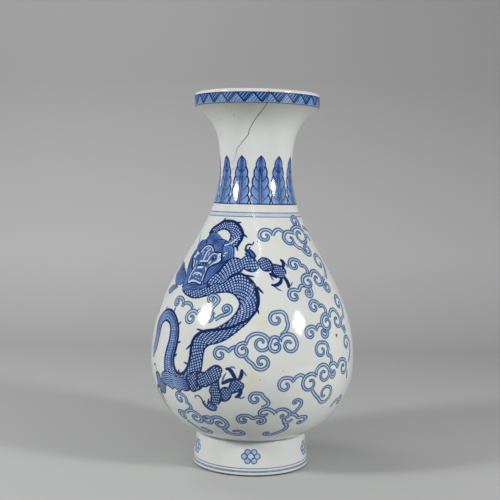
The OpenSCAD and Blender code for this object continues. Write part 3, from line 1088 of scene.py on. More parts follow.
CLOUDS = [
    CLOUDS_BY_NECK, CLOUDS_BY_PAW, CLOUDS_AT_RIGHT, CLOUDS_IN_MIDDLE, CLOUDS_LOW_RIGHT,
    CLOUDS_BY_FOOT, CLOUDS_LOW_LEFT, CLOUDS_IN_LOOP,
]

# A cloud for the sides that the photograph leaves unseen: millimetres to the right and up from its heart
SIDE_CLOUD = [
    ([(2.5, 4.6), (4, 9.6), (0.8, 13.2)], (-2.2, 9.8)),
    ([(4.5, -5.2), (8.4, -9), (13, -11)], (12.8, -6.2)),
    ([(0, 0), (-3.6, 2.8), (-8, 2.6)], (-8.4, -2.2)),
    ([(0, 0), (3, 4), (8, 4.8), (12.2, 1.5)], (8, -1.2)),
]
SIDE_CLOUDS = [(math.radians(92), 128, 0.6), (math.radians(91), 72, 0.7), (math.radians(86), 45, 0.75)]

HAIRLINE = [
    (269, 90), (268, 97), (266.5, 104), (260.4, 112.4), (254, 121), (249, 131), (248, 135), (240, 145),
    (237.5, 148), (236, 154), (234, 160), (232, 164.5),
]
IRON_SPOT = (336.4, 335.3)
SPECKS = [
    (283.5, 371), (260, 380), (347, 381), (220.5, 120), (226, 106), (234, 115), (257.5, 241.5),
    (280.5, 439.5), (233, 169),
]
GLAZE_STAINS = [((267, 322), 13.0), ((252, 380), 12.0), ((337, 290), 9.0)]

# Times that the front's painting goes round the vase
SIDES = 2

# Widths of the dragon's lines, in millimetres
OUTLINE = 0.9
FACE_LINE = 0.45
FACE_EDGE = 1.1
STRAND = 0.5
STRAND_EDGE = 1.5 * STRAND

# Levels that the parts of the dragon lie at, and how far its scales and edges lie over a part
FAR_LEVEL = 0
BODY_LEVEL = 0.1
PAD_LEVEL = 0.8
HEEL_LEVEL = 1
UNDER_HAIR_LEVEL = 1.6
FRILL_EDGE_LEVEL = 2.2
HAIR_LEVEL = 2
SHIN_LEVEL = 2
LEG_LEVEL = 3
FACE_LEVEL = 4
FACE_DARK_LEVEL = 4.3
FACE_WHITE_LEVEL = 4.6
EYE_LEVEL = 4.7
CHEEK_EDGE_LEVEL = 4.8
FACE_EDGE_LEVEL = 4.9
OVER_SCALES = 0.4
OVER_EDGE = 0.7
OVER_STRAND = 0.3
OVER_STRAND_EDGE = 0.5

# Brushes: the width, the level, and the width at each end as a share
STRAND_ENDS = (0.3, 0.2)
NECK_DIVIDER_BRUSH = (1.0, 3.2, (1.0, 0.3))
LOOP_BRUSH = (2.9, 0.9, (0.3, 0.3))
NECK_BRUSH = (2.3, 1, EVEN)
BACK_BRUSH = (2.3, 1, (0.4, 0.4))
SPINE_BRUSH = (1.35, 1, (1.0, 0.15))
FRILL_BRUSH = (0.7, 2, (0.3, 0.3))
FAR_CLAW_BRUSH = (2.4, 1.2, (1.0, 0.2))
FAR_HAIR_BRUSH = (1.8, 1, (0.4, 0.6))
WHISKER_BRUSH = (0.9, 2.7, (0.3, 0.3))
FLECK_DARK_BRUSH = (2.2, 3, (0.6, 0.4))
FLECK_WHITE_BRUSH = (1.2, 3.2, (0.6, 0.4))
PAW_BRUSH = (STRAND, 0.4, STRAND_ENDS)
FLAME_BRUSH = (1.25, 2, (1.0, 0.4))
HEEL_HAIR_BRUSH = (1.0, 1.5, (0.5, 1.0))
HEEL_SPUR_BRUSH = (0.9, 1.5, (1.0, 0.3))
HEEL_FLECK_BRUSH = (0.8, 1.9, (0.5, 0.5))
CLAW_BRUSH = (2.7, 3.7, (0.75, 0.5))
NAIL_BRUSH = (0.9, 3.4, (1.0, 0.25))
GLINT_BRUSH = (0.9, 4.9, EVEN)

# Nets of scales: the size of a scale, and the share of it that is pale
BODY_NET = (2.15, 0.57)
NECK_NET = (1.75, 0.57)
LEG_NET = (1.9, 0.5)
SHIN_NET = (1.8, 0.5)
PAW_NET = (1.65, 0.5)

# Lean of a net along its limb, the share of an edge's width that it keeps clear of, and its ink
NET_LEAN = math.radians(24)
NET_EDGE = 0.7
NET_INK = (0.1, 1)

# Spines, the tail's dashes, streaks of hair and the frill's stripes
SPINE_REACH = 1.25
SPINE_ROOT = 1.3
TAIL_INK = 0.1
TAIL_DASHES = [(-0.78, -0.3), (-0.18, 0.2), (0.32, 0.7)]
DASH_STEP = 1.35
DASH_HALF = 0.4
DASH_INK = (0.3, 1)
STREAK = 1.2
STREAK_LEAST = 3
STREAK_INK = (0, 0.4)
STREAK_DARKER = 0.7
STRAND_STARTS = (0, 45)
STRAND_STOPS = (70, 118)
FRILL_STRIPES = 7
FRILL_SPAN = (0.1, 0.9)
FRILL_WAVE = 0.02
FRILL_WAVES = 5
FRILL_TRIM = slice(3, -4)
FRILL_OPEN = 30
LIMB_ROWS = 120
FACE_CORNER = math.radians(60)

# Layers: the name of each piece, its tone, and the layer that its strokes bleed into
ground = Layer("dragon_ground", "cobalt_deep")
wash = Layer("dragon_wash", "cobalt_wash")
faint = Layer("dragon_faint", "cobalt_faint")
scales = Layer("dragon_scales", "cobalt_scale")
reserve = Layer("dragon_reserve", "cobalt_reserve")
bleed = Layer("cobalt_bleed", "cobalt_bleed")
lines = Layer("dragon_lines", "cobalt_black", bleed)
cloud_wash = Layer("cloud_wash", "cobalt_pale")
cloud_lines = Layer("cloud_lines", "cobalt_line", bleed)
leaf_wash = Layer("leaf_wash", "cobalt_leaf")
leaf_veins = Layer("leaf_veins", "cobalt_deep")
leaf_pale = Layer("leaf_pale", "cobalt_ring")
leaf_lines = Layer("leaf_lines", "cobalt_black", bleed)
diaper_dark = Layer("mouth_band_dark", "cobalt_band")
diaper_pale = Layer("mouth_band_pale", "cobalt_band_grey")
diaper_hatch = Layer("mouth_band_hatch", "cobalt_band_deep")
diaper_lines = Layer("mouth_band_lines", "cobalt_band_black")
ring_lines = Layer("ring_lines", "cobalt_ring")
ring_wash = Layer("ring_wash", "cobalt_ring_wash")
floret_wash = Layer("floret_wash", "cobalt_pale")
floret_lines = Layer("floret_lines", "cobalt_line", bleed)
halo = Layer("iron_halo", "iron_rust")
dirt = Layer("hairline_and_specks", "dirt_brown")
LAYERS = [
    ground, wash, faint, scales, reserve, lines, bleed, cloud_wash, cloud_lines,
    leaf_wash, leaf_veins, leaf_pale, leaf_lines, diaper_dark, diaper_pale, diaper_hatch, diaper_lines,
    ring_lines, ring_wash, floret_wash, floret_lines, halo, dirt,
]


# Dragon

class Limb:
    """A stretch of body or leg between two painted edges, given in pixels."""

    def __init__(self, one, other):
        if len(one) == len(other):
            self.one, self.other = paired(one, other)
        else:
            self.one, self.other = (resample(smooth(to_chart(edge)), LIMB_ROWS) for edge in (one, other))
        self.half = path_gap(self.one, self.other) / 2
        self.along = path_length((self.one + self.other) / 2)

    def at(self, along, across):
        """Chart point at a length along the limb and an offset from its middle."""
        edges = (self.one, self.other)
        place = [np.interp(along, self.along, edge[:, k]) for edge in edges for k in (0, 1)]
        one, other = np.array(place[:2]), np.array(place[2:])
        share = across / np.interp(along, self.along, self.half)
        return (one + other) / 2 + (one - other) / 2 * share

    def outline(self):
        return np.vstack([self.one, self.other[::-1]])


def paired(one, other):
    """Two edges sampled alike, so that matching points stay level with each other."""
    charts = [to_chart(edge) for edge in (one, other)]
    knots = path_length((charts[0] + charts[1]) / 2)
    wanted = np.linspace(0, knots[-1], LIMB_ROWS)
    result = []
    for chart in charts:
        scale = np.array([skin_radius(chart[:, 1].mean()), 1.0])
        places, _, _, starts = spline(chart * scale, STROKE_STEP, CUSP)
        share = np.interp(np.arange(len(places)), starts, knots)
        result.append(np.column_stack([np.interp(wanted, share, places[:, k]) for k in (0, 1)]) / scale)
    return result


def area(pixels, corner=CUSP):
    """Closed chart outline through pixels."""
    return smooth(to_chart(pixels), closed=True, corner=corner)


def draw(layer, pixels, width, level, ends=EVEN):
    """Brush stroke through pixels, on both sides of the vase."""
    layer.stroke(smooth(to_chart(pixels)), width, level, ends, SIDES)


def draw_each(layer, paths, brush):
    """Strokes of one brush along several paths of pixels."""
    for pixels in paths:
        draw(layer, pixels, *brush)


def draw_edges(edges, width, level):
    """Dark lines along chart curves, on both sides of the vase."""
    for edge in edges:
        lines.stroke(edge, width, level, EVEN, SIDES)


def draw_scales(limb, level, size, share, covers):
    """Pale lozenges between crossing dark lines, left out where another part of the dragon covers them."""
    step = size * np.array([math.cos(NET_LEAN), math.sin(NET_LEAN)])
    side = np.array([-step[1], step[0]])
    around = share / 2 * np.array([step + side, side - step, -step - side, step - side])
    length, reach = limb.along[-1], limb.half.max()
    spread = int((length + reach) / size) + 1
    for i, j in itertools.product(range(spread), range(-spread, spread)):
        along, across = i * step + j * side
        room = np.interp(along, limb.along, limb.half) - OUTLINE * NET_EDGE
        if not size < along < length or abs(across) > room:
            continue
        if any(inside_outline(limb.at(along, across), cover) for cover in covers):
            continue
        corners = np.array([limb.at(along + a, np.clip(across + b, -room, room)) for a, b in around])
        scales.add(corners, [(0, 1, 2, 3)], level, SIDES, np.full(4, scales.random.uniform(*NET_INK)))


def draw_limb(one, other, level, net=BODY_NET, covers=()):
    """A scaled stretch of the dragon: its ground, its scales, and a dark line along each edge."""
    limb = Limb(one, other)
    ground.strip(limb.one, limb.other, level, SIDES)
    draw_scales(limb, level + OVER_SCALES, *net, covers)
    draw_edges((limb.one, limb.other), OUTLINE, level + OVER_EDGE)


def draw_dragon():
    covers = (area(FORELEG_TOP + FORELEG_UNDER[::-1]), Limb(*MANE_LOCKS[-1]).outline())
    draw_tail()
    draw_limb(BODY_RIDGE_SIDE, BODY_BELLY_SIDE, BODY_LEVEL, covers=covers)
    draw_limb(NECK_OUTSIDE, NECK_INSIDE, FAR_LEVEL, NECK_NET)
    draw(reserve, NECK_DIVIDER, *NECK_DIVIDER_BRUSH)
    draw(lines, LOOP_RIDGE, *LOOP_BRUSH)
    draw(lines, NECK_OUTSIDE, *NECK_BRUSH)
    draw(lines, BACK_RIDGE, *BACK_BRUSH)
    for root, tip in np.array(SPINES):
        way = (tip - root) / np.hypot(*(tip - root))
        draw(lines, [root - SPINE_ROOT * way, root + SPINE_REACH * (tip - root)], *SPINE_BRUSH)
    draw_haunch()
    draw_mane()
    draw_foreleg()
    draw_hind_leg()
    draw_face()


def draw_dashes(limb, level):
    """Pale dashes across a limb, each row a step further along it."""
    for along in np.arange(DASH_STEP, limb.along[-1] - DASH_STEP, DASH_STEP):
        room = np.interp(along, limb.along, limb.half)
        load = np.full(4, scales.random.uniform(*DASH_INK))
        for low, high in TAIL_DASHES:
            corners = [(-DASH_HALF, low), (DASH_HALF, low), (DASH_HALF, high), (-DASH_HALF, high)]
            points = np.array([limb.at(along + a, room * b) for a, b in corners])
            scales.add(points, [(0, 1, 2, 3)], level, SIDES, load)


def draw_tail():
    tail = Limb(TAIL_LEFT, TAIL_RIGHT)
    ground.strip(tail.one, tail.other, FAR_LEVEL, SIDES, np.full(len(tail.one), TAIL_INK))
    draw_dashes(tail, FAR_LEVEL + OVER_SCALES)
    draw_edges((tail.one, tail.other), OUTLINE, FAR_LEVEL + OVER_EDGE)


def draw_haunch():
    """The haunch: a scaled pad, a striped frill in front of it, and the far leg at the edge of sight."""
    draw_limb(PAD_TOP, PAD_UNDER, PAD_LEVEL, LEG_NET)
    draw_frill()
    draw_limb(LIMB_LEG_LEFT, LIMB_LEG_RIGHT, FAR_LEVEL, LEG_NET)
    draw_each(lines, LIMB_CLAWS, FAR_CLAW_BRUSH)
    draw_each(faint, LIMB_HAIR, FAR_HAIR_BRUSH)


def draw_frill():
    frill = Limb(FRILL_TOP, FRILL_UNDER)
    ground.strip(frill.one, frill.other, UNDER_HAIR_LEVEL, SIDES)
    wave = FRILL_WAVE * np.sin(np.linspace(0, 2 * math.pi * FRILL_WAVES, len(frill.one)))[:, None]
    for share in np.linspace(*FRILL_SPAN, FRILL_STRIPES):
        path = frill.one + (frill.other - frill.one) * (share + wave)
        scales.stroke(path[FRILL_TRIM], *FRILL_BRUSH, SIDES)
    draw_edges((frill.one[:FRILL_OPEN], frill.other), OUTLINE, FRILL_EDGE_LEVEL)
    draw(lines, FRILL_END, OUTLINE, FRILL_EDGE_LEVEL)


def draw_mane():
    """The mane with its whiskers, and the far foreleg that reaches out behind it."""
    wash.patch(area(MANE_BASE), UNDER_HAIR_LEVEL, SIDES)
    for lock in MANE_LOCKS:
        draw_streaks(Limb(*lock), HAIR_LEVEL)
    draw_each(faint, WHISKERS, WHISKER_BRUSH)
    draw_each(lines, CHEEK_FLECKS, FLECK_DARK_BRUSH)
    draw_each(reserve, CHEEK_FLECKS, FLECK_WHITE_BRUSH)
    draw_streaks(Limb(FAR_LEG_LEFT, FAR_LEG_RIGHT), FAR_LEVEL)
    faint.patch(area(FAR_PAW), FAR_LEVEL, SIDES)
    draw_each(ground, PAW_STRANDS, PAW_BRUSH)


def draw_streaks(limb, level):
    """A lock or a far leg: streaks of wash side by side, dark strands between them, and a line round it."""
    count = max(STREAK_LEAST, round(2 * limb.half.max() / STREAK))
    shares = np.linspace(0, 1, count + 1)
    span = limb.other - limb.one
    for k, (low, high) in enumerate(zip(shares, shares[1:])):
        load = np.full(len(span), wash.random.uniform(*STREAK_INK) + STREAK_DARKER * (k % 2))
        wash.strip(limb.one + span * low, limb.one + span * high, level, SIDES, load)
    for share in shares[1:-1]:
        first, last = lines.random.integers(*STRAND_STARTS), lines.random.integers(*STRAND_STOPS)
        path = (limb.one + span * share)[first:last]
        ground.stroke(path, STRAND, level + OVER_STRAND, STRAND_ENDS, SIDES)
    draw_edges((limb.one, limb.other), STRAND_EDGE, level + OVER_STRAND_EDGE)


def draw_foreleg():
    draw_limb(FORELEG_TOP, FORELEG_UNDER, LEG_LEVEL)
    draw_limb(FOREARM_TOP, FOREARM_UNDER, LEG_LEVEL, SHIN_NET)
    draw_limb(PAW_TOP, PAW_UNDER, LEG_LEVEL, PAW_NET)
    draw_claws(FORE_CLAWS, FORE_NAILS)
    wash.patch(area(FLAME_BASE), UNDER_HAIR_LEVEL, SIDES)
    draw_each(lines, ELBOW_FLAME, FLAME_BRUSH)


def draw_hind_leg():
    draw_limb(SHIN_LEFT, SHIN_RIGHT, SHIN_LEVEL, SHIN_NET)
    draw_limb(THIGH_TOP, THIGH_UNDER, LEG_LEVEL, LEG_NET)
    draw_limb(FOOT_TOP, FOOT_UNDER, LEG_LEVEL, SHIN_NET)
    draw_claws(HIND_CLAWS, HIND_NAILS)
    draw_streaks(Limb(HEEL_TOP, HEEL_UNDER), HEEL_LEVEL)
    draw(lines, HEEL_HAIR, *HEEL_HAIR_BRUSH)
    draw_each(lines, HEEL_SPURS, HEEL_SPUR_BRUSH)
    draw_each(scales, HEEL_FLECKS, HEEL_FLECK_BRUSH)


def draw_claws(claws, nails):
    draw_each(lines, claws, CLAW_BRUSH)
    draw_each(cloud_lines, nails, NAIL_BRUSH)


def draw_face():
    """The face: white bands with dark edges on a blue ground, white cheeks, an eye and gums, and glints."""
    outline = area(FACE, FACE_CORNER)
    wash.patch(outline, FACE_LEVEL, SIDES)
    for width, band in FACE_BANDS:
        draw(ground, band, width + 2 * FACE_LINE, FACE_DARK_LEVEL)
        draw(reserve, band, width, FACE_WHITE_LEVEL)
    for pixels in CHEEKS:
        cheek = area(pixels)
        reserve.patch(cheek, FACE_WHITE_LEVEL, SIDES)
        draw_edges([np.vstack([cheek, cheek[:1]])], FACE_LINE, CHEEK_EDGE_LEVEL)
    ground.patch(area(EYE), EYE_LEVEL, SIDES)
    lines.patch(area(GUMS), EYE_LEVEL, SIDES)
    draw_each(scales, GLINTS, GLINT_BRUSH)
    draw_edges([np.vstack([outline, outline[:1]])], FACE_EDGE, FACE_EDGE_LEVEL)


# Clouds

SCROLL_HALF = 0.92
SCROLL_LINE = 0.88
SCROLL_STEEP = 0.55
CURL_TURNS = 0.9
CURL_CORE = 0.24
CURL_SLIM = 0.62
CURL_HOLD = 1.7
CURL_POINTS = 12
CAP_POINTS = 9
ARM_ROOT = 1.0
ARM_LEVEL = 0.45


def curl(arm, eye):
    """Chart points that wind in round an eye, from the end of an arm of cloud."""
    scale = np.array([skin_radius(eye[1]), 1.0])
    spoke = (arm[-1] - eye) * scale
    flow = (arm[-1] - arm[-2]) * scale
    way = math.copysign(1, spoke[0] * flow[1] - spoke[1] * flow[0])
    share = np.linspace(0, 1, CURL_POINTS)[1:]
    angle = math.atan2(spoke[1], spoke[0]) + way * 2 * math.pi * CURL_TURNS * share
    reach = np.hypot(*spoke) * (1 - (1 - CURL_CORE) * share**CURL_HOLD)
    return eye + np.column_stack([np.cos(angle) * reach, np.sin(angle) * reach]) / scale


def draw_arm(arm, eye, level):
    """A ribbon of cloud: pale inside, with one line round it that closes at its slimmer end."""
    path = smooth(arm if eye is None else np.vstack([arm, curl(arm, eye)]))
    root = path[:1] - (path[1:2] - path[:1]) * ARM_ROOT / path_length(path[:2])[-1]
    path = np.vstack([root, path])
    share = path_length(path)
    share /= share[-1]
    swell = 1 / np.clip(np.interp(path[:, 1], fine_length, fine_way[:, 1]), SCROLL_STEEP, 1)
    half = SCROLL_HALF * swell * np.minimum(1, 1 + (CURL_SLIM - 1) * (2 * share - 1))
    left, right = beside(path, half), beside(path, -half)
    cloud_wash.strip(left, right, level, SIDES)
    radius = skin_radius(path[-1, 1])
    flow = (path[-1] - path[-2]) * (radius, 1)
    facing = math.atan2(flow[1], flow[0])
    round_end = facing + np.linspace(math.pi / 2, -math.pi / 2, CAP_POINTS)[1:-1]
    cap = path[-1] + half[-1] * np.column_stack([np.cos(round_end) / radius, np.sin(round_end)])
    width = SCROLL_LINE * np.concatenate([swell, np.full(len(cap), swell[-1]), swell[::-1]])
    cloud_lines.stroke(np.vstack([left, cap, right[::-1]]), width, level + ARM_LEVEL / 2, EVEN, SIDES)


def draw_clouds():
    for cloud in CLOUDS:
        for k, (arm, eye) in enumerate(cloud):
            draw_arm(to_chart(arm), to_chart([eye])[0] if eye else None, ARM_LEVEL * k)
    for turn, height, size in SIDE_CLOUDS:
        heart = np.array([turn, skin_length(height)])
        step = size * np.array([1 / skin_radius(heart[1]), 1])
        for k, (arm, eye) in enumerate(SIDE_CLOUD):
            draw_arm(heart + np.array(arm) * step, heart + np.array(eye) * step, ARM_LEVEL * k)


# Plantain leaves round the neck: sizes in millimetres, spans as shares, most with their number of points

LEAF_COUNT = 12
LEAF_TURN = math.radians(6.6)
LEAF_LEAN = math.radians(1.0)
LEAF_BASE_Z = 211.9
LEAF_TIP_Z = 248.8
LEAF_HALF = 8.4
LEAF_TAPER = 0.43
LEAF_LOBES = 5
LEAF_LOBE_DEPTH = 1.3
LEAF_LOBE_ROUND = 0.7
LEAF_LOBE_FADE = 0.3
LEAF_ROWS = 90
LEAF_CLOSE = 0.998
LEAF_BANDS = [(0.0, 0.38, 0.7), (0.38, 0.7, 0.4), (0.7, 1.0, 0.15)]
LEAF_TOP_INK = 0.3
LEAF_RIB = 0.5
LEAF_RIB_SPAN = (0.01, 0.62, 30)
LEAF_VEIN = 0.55
LEAF_VEIN_RISE = 0.13
LEAF_VEIN_SPAN = (0.2, 0.97)
LEAF_VEIN_POINTS = 12
LEAF_NOTCH_POINTS = 4
LEAF_STREAKS = [0.035, 0.075]
LEAF_CROWN_SPAN = (0.66, 0.99, 16)
LEAF_TIP_SPAN = (0.95, 1.03, 8)
LEAF_RIB_BRUSH = (2 * LEAF_RIB, 0.5, (1.0, 0.3))
LEAF_EDGE_BRUSH = (0.95, 0.6, (1.0, 0.6))
LEAF_BESIDE_RIB_BRUSH = (LEAF_VEIN, 0.6, EVEN)
LEAF_VEIN_BRUSH = (LEAF_VEIN, 0.4, (0.3, 1.0))
LEAF_NOTCH_BRUSH = (1.2, 0.7, (0.2, 1.0))
LEAF_STREAK_BRUSH = (0.34, 0.3, (0.3, 0.3))
LEAF_CROWN_BRUSH = (3.8, 0.3, (0.15, 0.5))
LEAF_TIP_BRUSH = (1.7, 0.6, (0.6, 0.1))


def leaf_point(rise, offset):
    """Chart point of the leaf at a share of its height, and an offset from its midrib."""
    base, tip = skin_length(LEAF_BASE_Z), skin_length(LEAF_TIP_Z)
    length = base + (tip - base) * rise
    turn = LEAF_TURN + LEAF_LEAN * rise + offset / skin_radius(length)
    return np.column_stack([turn, length])


def leaf_half(rise):
    """Half width of the leaf: lobes that swell out between the notches where veins meet the edge."""
    lobe = np.abs(np.sin(math.pi * LEAF_LOBES * rise)) ** LEAF_LOBE_ROUND
    notch = LEAF_LOBE_DEPTH * (1 - lobe) * (1 - rise) ** LEAF_LOBE_FADE
    return LEAF_HALF * (1 - rise) ** LEAF_TAPER - notch


def draw_leaf():
    """One leaf: a wash that pales outwards from the rib, veins that end in dark notches, a dark crown."""
    rise = np.linspace(0, LEAF_CLOSE, LEAF_ROWS)
    edge = leaf_half(rise)
    rib = np.linspace(*LEAF_RIB_SPAN)
    leaf_pale.stroke(leaf_point(rib, 0), *LEAF_RIB_BRUSH, LEAF_COUNT)
    for side in (-1, 1):
        for low, high, load in LEAF_BANDS:
            inner, outer = leaf_point(rise, side * edge * low), leaf_point(rise, side * edge * high)
            leaf_wash.strip(outer, inner, 0, LEAF_COUNT, load + LEAF_TOP_INK * rise)
        leaf_lines.stroke(leaf_point(rise, side * edge), *LEAF_EDGE_BRUSH, LEAF_COUNT)
        beside_rib = leaf_point(rib, side * (LEAF_RIB + LEAF_VEIN / 3))
        leaf_veins.stroke(beside_rib, *LEAF_BESIDE_RIB_BRUSH, LEAF_COUNT)
        for notch in range(1, LEAF_LOBES):
            draw_leaf_vein(side, notch / LEAF_LOBES)
    leaf_veins.stroke(leaf_point(np.linspace(*LEAF_CROWN_SPAN), 0), *LEAF_CROWN_BRUSH, LEAF_COUNT)
    leaf_lines.stroke(leaf_point(np.linspace(*LEAF_TIP_SPAN), 0), *LEAF_TIP_BRUSH, LEAF_COUNT)


def draw_leaf_vein(side, top):
    """A vein on one side of the leaf, up to its notch in the edge, with pale streaks below it."""
    rise = np.linspace(top - LEAF_VEIN_RISE, top, LEAF_VEIN_POINTS)
    share = np.linspace(*LEAF_VEIN_SPAN, LEAF_VEIN_POINTS)
    vein = leaf_point(rise, side * share * leaf_half(rise))
    leaf_veins.stroke(vein, *LEAF_VEIN_BRUSH, LEAF_COUNT)
    leaf_lines.stroke(vein[-LEAF_NOTCH_POINTS:], *LEAF_NOTCH_BRUSH, LEAF_COUNT)
    for drop in LEAF_STREAKS:
        streak = leaf_point(rise - drop, side * share * leaf_half(rise - drop))
        leaf_pale.stroke(streak, *LEAF_STREAK_BRUSH, LEAF_COUNT)


# Diaper band on the mouth

BAND_COUNT = 24
BAND_TURN = math.radians(-3.6)
BAND_UNDER_Z = 289.1
BAND_LOW_Z = 289.5
BAND_TOP_Z = 297.0
BAND_EDGE_POINTS = 10
BAND_LINE_POINTS = 12
BAND_LINE_BRUSH = (1.15, 0.8, EVEN)
BAND_DROP_RISE = 1.6
BAND_DROP_POINTS = 6
BAND_DROP_BRUSH = (1.8, 0.8, (0.3, 1.0))
HATCH_SHARES = (0.22, 0.44, 0.66, 0.86)
HATCH_POINTS = 8
HATCH_GAP = 0.1
HATCH_DARK_BRUSH = (0.8, 0.5, (1.0, 0.4))
HATCH_PALE_BRUSH = (0.5, 0.4, (0.4, 0.8))
HATCH_BLUE_BRUSH = (0.8, 0.4, (0.6, 0.6))


def draw_hatch(layer, corner, one, other, share, brush):
    """Stroke across a triangle, at a share of the two sides that leave a corner."""
    ends = np.array([corner + share * (one - corner), corner + share * (other - corner)])
    layer.stroke(resample(ends, HATCH_POINTS), *brush, BAND_COUNT)


def draw_mouth_band():
    """One zigzag of the band: a blue triangle that hangs, a greyer one that stands, lines and hatching."""
    half = math.pi / BAND_COUNT
    low, top = skin_length(BAND_LOW_Z), skin_length(BAND_TOP_Z)
    peak = np.array([BAND_TURN, top])
    left, right = np.array([BAND_TURN - half, low]), np.array([BAND_TURN + half, low])
    next_peak = np.array([BAND_TURN + 2 * half, top])
    for layer, corners in ((diaper_pale, (peak, left, right)), (diaper_dark, (peak, right, next_peak))):
        edges = zip(corners, corners[1:] + corners[:1])
        outline = np.vstack([resample(np.array(edge), BAND_EDGE_POINTS)[:-1] for edge in edges])
        layer.patch(outline, 0, BAND_COUNT)
    for edge in ((left, peak), (peak, right)):
        diaper_lines.stroke(resample(np.array(edge), BAND_LINE_POINTS), *BAND_LINE_BRUSH, BAND_COUNT)
    drop = np.array([right + [0, BAND_DROP_RISE], right])
    diaper_lines.stroke(resample(drop, BAND_DROP_POINTS), *BAND_DROP_BRUSH, BAND_COUNT)
    for share in HATCH_SHARES:
        draw_hatch(diaper_hatch, peak, next_peak, right, share, HATCH_DARK_BRUSH)
        draw_hatch(diaper_pale, peak, next_peak, right, share + HATCH_GAP, HATCH_PALE_BRUSH)
        draw_hatch(diaper_dark, right, left, peak, share, HATCH_BLUE_BRUSH)


# Lines round the vase: the layer, the height, the width and the level of each

RINGS = [
    (ring_lines, 205.2, 0.95, 0.5),
    (ring_lines, 202.1, 0.9, 0.5),
    (ring_wash, 203.7, 2.4, 0),
    (ring_wash, 26.5, 1.4, 0.5),
    (ring_lines, 6.3, 0.8, 0.5),
    (ring_lines, 3.9, 1.6, 0.3),
    (diaper_pale, BAND_LOW_Z, 1.5, 0.2),
    (diaper_lines, BAND_UNDER_Z, 0.6, 0.6),
    (diaper_hatch, BAND_TOP_Z, 0.5, 1),
    (leaf_lines, LEAF_BASE_Z, 1.0, 0.8),
]


def draw_rings():
    for layer, height, width, level in RINGS:
        layer.ring(height, width, level)


# Florets on the foot

FLORET_COUNT = 5
FLORET_TURN = math.radians(0.6)
FLORET_Z = 15.6
FLORET_EYE = 2.6
FLORET_PETAL = 2.15
FLORET_PETALS = 6
FLORET_WIDE = 5.0
FLORET_TALL = 3.7
FLORET_POINTS = 28
FLORET_EYE_LEVEL = 0.6
FLORET_EYE_BRUSH = (0.78, 0.9, EVEN)
FLORET_PETAL_BRUSH = (0.78, 0.3, EVEN)


def draw_floret():
    """Round petals about a white eye."""
    centre = np.array([FLORET_TURN, skin_length(FLORET_Z)])
    radius = skin_radius(centre[1])
    around = np.linspace(0, 2 * math.pi, FLORET_POINTS)
    circle = np.column_stack([np.cos(around) / radius, np.sin(around)])
    reserve.patch(centre + FLORET_EYE * circle[:-1], FLORET_EYE_LEVEL, FLORET_COUNT)
    floret_lines.stroke(centre + FLORET_EYE * circle, *FLORET_EYE_BRUSH, FLORET_COUNT)
    for petal in range(FLORET_PETALS):
        angle = 2 * math.pi * petal / FLORET_PETALS
        place = centre + (FLORET_WIDE * math.cos(angle) / radius, FLORET_TALL * math.sin(angle))
        floret_wash.patch(place + FLORET_PETAL * circle[:-1], 0, FLORET_COUNT)
        floret_lines.stroke(place + FLORET_PETAL * circle, *FLORET_PETAL_BRUSH, FLORET_COUNT)


# Age: a hairline crack and specks of iron

AGE_LEVEL = 5
HAIRLINE_BRUSH = (0.42, AGE_LEVEL, (1.0, 0.3))
HAIRLINE_CORNER = math.radians(30)
IRON_HALO = 1.7
IRON_CORE = 1.1
SPECK = 0.42
SPECK_POINTS = 10
SPECK_LOBES = 3
SPECK_UNEVEN = 0.25


def draw_speck(layer, pixel, size):
    centre = to_chart([pixel])[0]
    around = np.linspace(0, 2 * math.pi, SPECK_POINTS, endpoint=False)
    uneven = size * (1 + SPECK_UNEVEN * np.sin(SPECK_LOBES * around))
    offset = np.column_stack([np.cos(around) * uneven / skin_radius(centre[1]), np.sin(around) * uneven])
    layer.patch(centre + offset, AGE_LEVEL)


def draw_age():
    dirt.stroke(smooth(to_chart(HAIRLINE), corner=HAIRLINE_CORNER), *HAIRLINE_BRUSH)
    draw_speck(halo, IRON_SPOT, IRON_HALO)
    draw_speck(dirt, IRON_SPOT, IRON_CORE)
    for pixel in SPECKS:
        draw_speck(dirt, pixel, SPECK)


# Stage and light, in metres and watts

FLOOR_HALF = 2.4
FLOOR_BACK = 0.55
BACKDROP_BEND = 0.45
BACKDROP_TOP = 2.4
BEND_POINTS = 24
PAPER_ROUGH = 0.9
PAPER_SHINE = 0.1
# Heights in metres over which the backdrop's painted light, then its painted shade, come in
PAINTED_LIGHT_SPAN = (0.0, 0.1)
PAINTED_SHADE_SPAN = (0.12, 0.42)
LAMP_AIM = (0.0, 0.0, 0.13)
BACKDROP_AIM = (-0.25, 1.0, 0.15)
RIGHT_SPIN = math.radians(45)
STRIP_SPIN = math.radians(-40)
ROOM_WHITE = (1.0, 1.0, 1.0, 1.0)
ROOM_LIGHT = 0.245


